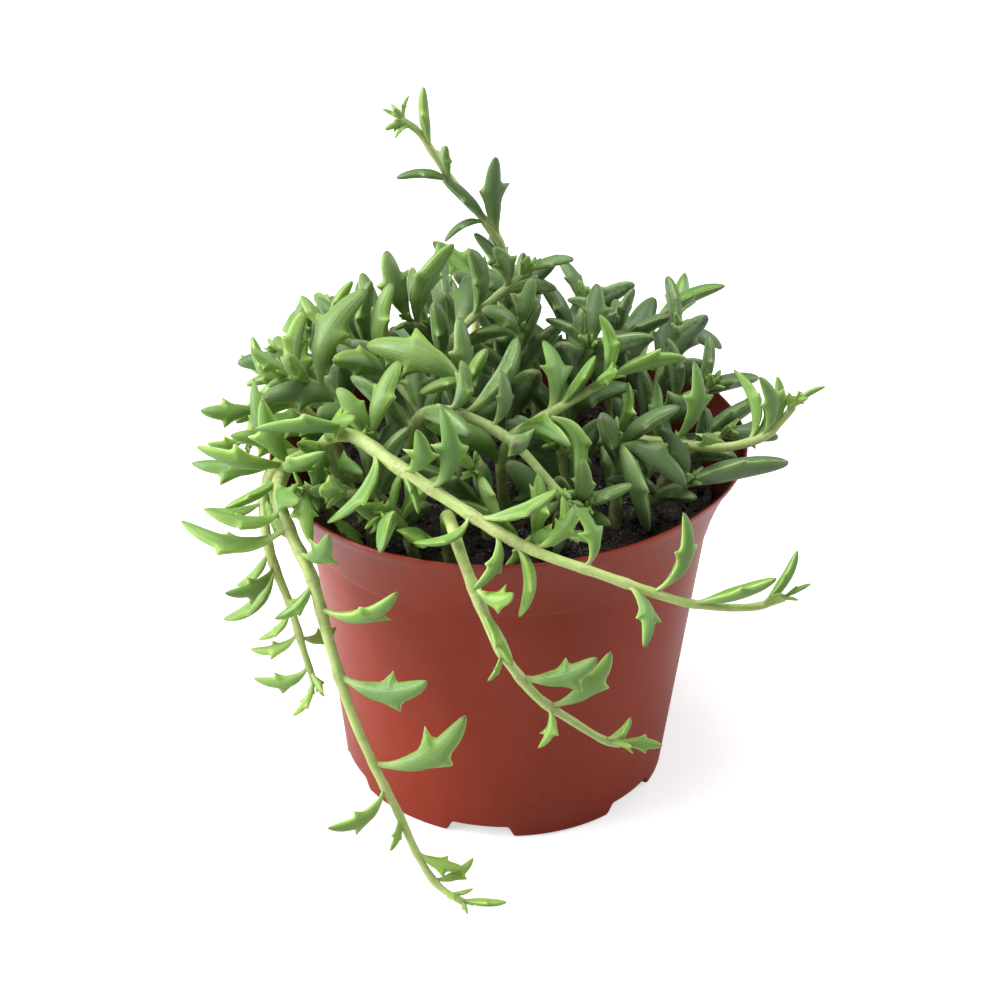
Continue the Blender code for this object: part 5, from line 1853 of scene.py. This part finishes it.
@dataclass
class LeafyStem:
    """A stem with the leaves that grow on it, as one fused piece."""

    plan: StemPlan
    number: int
    route: Route
    leaves: list[Leaf] = field(default_factory=list)
    sides: int = 12
    slender: float = 0.93
    thinning: float = 1.3
    ball_step: float = 1.5
    ring_step: float = 1.1
    swelling: float = 0.17
    swelling_reach: float = 1.9
    swelling_most: float = 1.3
    end_least: float = 0.3
    end_reach: float = 0.4
    rib_height: float = 0.035
    ribs: int = 4
    rib_twist: float = 7.0
    knot_height: float = 0.03
    knot_length: float = 2.3
    young_from: float = 0.5
    scars_from: float = 0.3
    scars_fade: float = 0.6
    bud_stem: float = 0.5
    seed: int = 900

    def balls(self) -> tuple[Array, Array, Array]:
        """Balls along the stem, as centres, radii and the share that lets its own leaves grow from it."""
        count = int(self.route.length / self.ball_step)
        shares = np.linspace(0.0, 1.0, count)
        return self.route.at(shares), self.thickness(shares), np.zeros(count)

    def thickness(self, shares: Array | float) -> Array:
        """The stem's plain radius: radius + (tip radius - radius) * share^thinning."""
        foot, tip = self.plan.radius, self.plan.tip_radius
        return foot + (tip - foot) * np.asarray(shares) ** self.thinning

    def rule_reach(self, index: int, draw: random.Random) -> tuple[float, Array]:
        """Where a leaf grows by rule, each a golden turn on from the last.

        Args:
            index: The leaf's number.
            draw: The stem's random numbers.

        Returns:
            The share of the stem and the way to the leaf's tip.
        """
        plan = self.plan
        share = plan.start + (GROWTH.last - plan.start) * (index + 0.5) / plan.count
        share += draw.uniform(*GROWTH.share_draw)
        way = self.route.way(share)
        out = beside(way, index * GROWTH.divergence + draw.uniform(*GROWTH.turn_draw))
        outward = self.route.at(share) * (1.0, 1.0, 0.0)
        direction = unit(out + GROWTH.along * way + plan.lift * UP + GROWTH.outward * unit(outward))
        past = max(0.0, share - GROWTH.shorten_from) / (1.0 - GROWTH.shorten_from)
        length = plan.longest * (1.0 - GROWTH.shorten_by * past) * draw.uniform(*GROWTH.length_draw)
        return share, direction * length

    def place_leaf(
        self, room: Room, share: float, reach: Array, draw: random.Random, turn: float | None = None
    ) -> None:
        """Grows a leaf, led aside and shortened little by little until it is clear of everything.

        Args:
            room: What is placed.
            share: Where on the stem it grows.
            reach: The way to its tip.
            draw: The stem's random numbers.
            turn: How far its broad side is turned from the front, in degrees, or None.
        """
        least, most = GROWTH.feet
        for attempt in range(GROWTH.tries):
            aside = np.array([draw.gauss(0.0, 1.0) for k in range(3)]) * GROWTH.nudge * attempt
            shorter = 1.0 - GROWTH.shrink * max(0, attempt - GROWTH.shrink_from)
            foot = min(max(share + draw.gauss(0.0, GROWTH.slide) * attempt, least), most)
            way = unit(unit(reach) + aside) * (np.linalg.norm(reach) * shorter)
            leaf = Leaf.grow(self.route, foot, way, draw, self.plan.slim, turn)
            places, radii, shares = leaf.balls()
            if room.clearance(places, radii, shares, self.number) > room.clear:
                room.add(places, radii, self.number, shares)
                self.leaves.append(leaf)
                return

    def stem_skin(self, skin: Skin) -> None:
        """Adds the stem: rings along the route, swollen where leaves grow, gently ribbed, with a round end.

        The radius is the plain one, times one plus a bell at each leaf's foot, plus a small wave round and
        along.

        Args:
            skin: Takes the surface in.
        """
        length, tip_radius = self.route.length, self.plan.tip_radius
        shares = np.linspace(0.0, 1.0, int(length / self.ring_step))
        feet = np.array([leaf.foot for leaf in self.leaves] or [2.0])
        bells = np.exp(-(((shares[:, None] - feet[None]) * length / self.swelling_reach) ** 2)).sum(1)
        bells = bells.clip(0.0, self.swelling_most)
        end = np.clip((1.0 - shares) * length / tip_radius, 0.0, 1.0)
        radii = self.thickness(shares) * self.slender * (1.0 + self.swelling * bells)
        radii *= np.sqrt(1.0 - (1.0 - end) ** 2).clip(self.end_least)
        turn = around(self.sides)
        wave = 1.0 + self.rib_height * np.sin(self.ribs * turn[None] + shares[:, None] * self.rib_twist)
        wave = wave + self.knot_height * np.sin(shares * length / self.knot_length + self.number)[:, None]
        ring = spokes(self.sides, *self.route.frames(shares))
        grid = self.route.at(shares)[:, None] + ring * (radii[:, None] * wave)[..., None]
        tip = self.route.at(1.0) + self.route.way(1.0) * tip_radius * self.end_reach
        scars = bells.clip(0.0, 1.0) * (1.0 - self.scars_fade * smoothstep(self.scars_from, 1.0, shares))
        values = {
            "along": shares[:, None],
            "keel": np.sin(turn),
            "edge": np.abs(np.cos(turn)),
            "blade": 0.0,
            "tone": self.plan.bright,
            "youth": smoothstep(self.young_from, 1.0, shares)[:, None],
            "node": scars[:, None],
        }
        skin.add_tubes(grid[None], self.route.at(0.0)[None], tip[None], values)

    def bud_leaves(self, draw: random.Random) -> list[Leaf]:
        """The smallest leaves, bunched round the shoot's tip and leaning along it.

        Args:
            draw: The stem's random numbers for its looks.

        Returns:
            The leaves.
        """
        way, small = self.route.way(1.0), []
        for k in range(GROWTH.buds):
            spans = (GROWTH.bud_foot, GROWTH.bud_out, GROWTH.bud_length)
            foot, out, length = (first + k * step for first, step in spans)
            sideways = out * beside(way, k * GROWTH.divergence + draw.uniform(*GROWTH.bud_turn_draw))
            direction = unit(way + sideways + GROWTH.bud_up * UP)
            small.append(Leaf.grow(self.route, foot, direction * length, draw))
        return small

    def build(self, material: bpy.types.Material) -> None:
        """Makes and dresses the stem with its leaves.

        Args:
            material: Its finish.
        """
        skin = Skin()
        self.stem_skin(skin)
        draw = random.Random(self.seed + self.number)
        young, bright, ages = self.plan.slot is Slot.YOUNG, self.plan.bright, FRESHNESS_AND_LIGHT[self.plan.slot]
        for leaf in self.leaves:
            # painted light: the place term gives leaves at the front left a lighter tone and more fresh
            # colour, at the back right darker
            fresh = ages.at(leaf.base)
            youth = ages.youth(fresh, leaf.foot, draw.random()) * bright
            tone = draw.random() * bright * (ages.tone + (1.0 - ages.tone) * fresh)
            leaf.skin(skin, float(self.thickness(leaf.foot)), young, False, tone, youth)
        for leaf in self.bud_leaves(draw):
            youth = (ages.bud_least + (1.0 - ages.bud_least) * draw.random()) * bright
            leaf.skin(skin, self.bud_stem, young, True, draw.random(), youth)
        piece = skin.piece(self.plan.name + "_growth")
        piece.data.materials.append(material)
        settle(piece, (self.plan.name,))


@dataclass
class Plant:
    """All the stems, laid out so that no leaf touches another."""

    pot: PotShape
    soil: SoilShape
    plans: tuple[StemPlan, ...] = STEM_PLANS
    finishes: tuple[tuple[Slot, LeafFinish], ...] = ((Slot.YOUNG, YOUNG_LEAF), (Slot.OLD, OLD_LEAF))
    seed: int = 100

    def lay_out(self) -> list[LeafyStem]:
        """Grows first the leaves with a known place and then those that follow the rule, stem by stem.

        Returns:
            The stems with their leaves.
        """
        room = Room(self.pot, self.soil)
        stems = [LeafyStem(plan, number, Route(plan.route)) for number, plan in enumerate(self.plans)]
        for stem in stems:
            places, radii, shares = stem.balls()
            room.add(places, radii, stem.number, shares)
        draws = [random.Random(self.seed + stem.number) for stem in stems]
        for stem, draw in zip(stems, draws):
            for x, y, z, *reach in stem.plan.leaves:
                way, turn = np.array(reach[:3], float), next(iter(reach[3:]), None)
                stem.place_leaf(room, stem.route.nearest((x, y, z)), way, draw, turn)
        for index in range(max(plan.count for plan in self.plans)):
            for stem, draw in zip(stems, draws):
                if index < stem.plan.count:
                    stem.place_leaf(room, *stem.rule_reach(index, draw), draw)
        LOG.info("%d leaves on %d stems", sum(len(stem.leaves) for stem in stems), len(stems))
        return stems

    def build(self) -> None:
        """Makes and dresses every stem."""
        materials = {slot: finish.material() for slot, finish in self.finishes}
        for stem in self.lay_out():
            stem.build(materials[stem.plan.slot])


# The studio


@dataclass(frozen=True)
class SoftBox:
    """A large soft white light: where it hangs, how wide it is and its power. It faces the plant."""

    name: str
    place: Place
    size: float
    power: float

    def build(self, aim: Place) -> None:
        """Hangs the light so that it faces a place.

        Args:
            aim: The place, in metres.
        """
        lamp = bpy.data.lights.new(self.name, "AREA")
        lamp.shape = "DISK"
        lamp.size = self.size
        lamp.energy = self.power
        made = bpy.data.objects.new(self.name, lamp)
        back = unit(np.array(self.place) - np.array(aim))
        made.matrix_world = facing(back, self.place)
        bpy.context.scene.collection.objects.link(made)


def facing(back: Array, place: Place, roll: float = 0.0) -> Matrix:
    """A placing whose -Z looks against back, level but for a roll. back isn't straight up.

    Args:
        back: The direction from what is looked at.
        place: Where it stands.
        roll: A turn about the line of sight, in radians.

    Returns:
        The 4 by 4 matrix.
    """
    right = unit(np.cross(UP, back))
    up = np.cross(back, right)
    turned_right = math.cos(roll) * right + math.sin(roll) * up
    turned_up = math.cos(roll) * up - math.sin(roll) * right
    rows = np.column_stack([turned_right, turned_up, back, place])
    return Matrix([*map(tuple, rows), (0.0, 0.0, 0.0, 1.0)])


@dataclass(frozen=True)
class Studio:
    """The pale floor, the soft lights and the camera at the picture's angle."""

    elevation: float = math.radians(30.9)
    distance: float = 0.673
    roll: float = math.radians(1.04)
    aim: Place = (-0.0023, 0.0, 0.0767)
    lens: float = 93.3
    sensor: float = 36.0
    near: float = 0.01
    far: float = 30.0
    floor_half: float = 3.0
    floor_cells: int = 12
    floor_below: float = 0.0002
    sky: float = 0.34
    boxes: tuple[SoftBox, ...] = (
        SoftBox("left_softbox", (-1.1, -0.24, 0.6), 0.95, 24.5),
        SoftBox("right_softbox", (1.0, 0.3, 0.5), 0.5, 5.5),
        SoftBox("top_softbox", (-0.15, 0.0, 1.4), 0.8, 17.0),
    )

    def camera(self) -> None:
        """Sets up the camera."""
        lens = bpy.data.cameras.new("camera")
        lens.lens = self.lens
        lens.sensor_width = self.sensor
        lens.clip_start, lens.clip_end = self.near, self.far
        made = bpy.data.objects.new("camera", lens)
        back = np.array((0.0, -math.cos(self.elevation), math.sin(self.elevation)))
        made.matrix_world = facing(back, tuple(np.array(self.aim) + back * self.distance), self.roll)
        bpy.context.scene.collection.objects.link(made)
        bpy.context.scene.camera = made

    def floor(self) -> None:
        """Lays the floor: a flat square grid, bent nowhere."""
        n = self.floor_cells + 1
        steps = np.linspace(-self.floor_half, self.floor_half, n)
        x, y = np.meshgrid(steps, steps)
        points = np.stack([x, y, np.full_like(x, -self.floor_below)], -1).reshape(-1, 3)
        k, s = np.meshgrid(np.arange(n - 1), np.arange(n - 1), indexing="ij")
        corner = k * n + s
        faces = np.stack([corner, corner + 1, corner + n + 1, corner + n], -1).reshape(-1, 4)
        mesh = bpy.data.meshes.new("floor")
        mesh.from_pydata(points.tolist(), [], faces.tolist())
        mesh.materials.append(FloorFinish().material())
        made = bpy.data.objects.new("floor", mesh)
        bpy.context.scene.collection.objects.link(made)

    def build(self) -> None:
        """Sets up the floor, the lights, the white surroundings and the camera."""
        self.camera()
        self.floor()
        for box in self.boxes:
            box.build(self.aim)
        world = bpy.data.worlds.new("white_room")
        world.use_nodes = True
        w = Wiring(world.node_tree)
        background = world.node_tree.nodes["Background"]
        w.feed(background.inputs["Color"], WHITE)
        seen = w.node("ShaderNodeLightPath").outputs["Is Camera Ray"]
        w.feed(background.inputs["Strength"], w.math("MAXIMUM", seen, self.sky))
        bpy.context.scene.world = world
        bpy.context.scene.view_settings.view_transform = "Standard"
        bpy.context.scene.view_settings.look = "None"
        LOG.info("studio: %d soft lights", len(self.boxes))


def main() -> None:
    """Builds the studio, the pot, the soil and the plant."""
    logging.basicConfig(level=logging.INFO, format="%(name)s: %(message)s")
    pot, soil = PotShape(), SoilShape()
    Studio().build()
    Pot(pot).build()
    Soil(pot, soil).build()
    Plant(pot, soil).build()


if __name__ == "__main__":
    main()
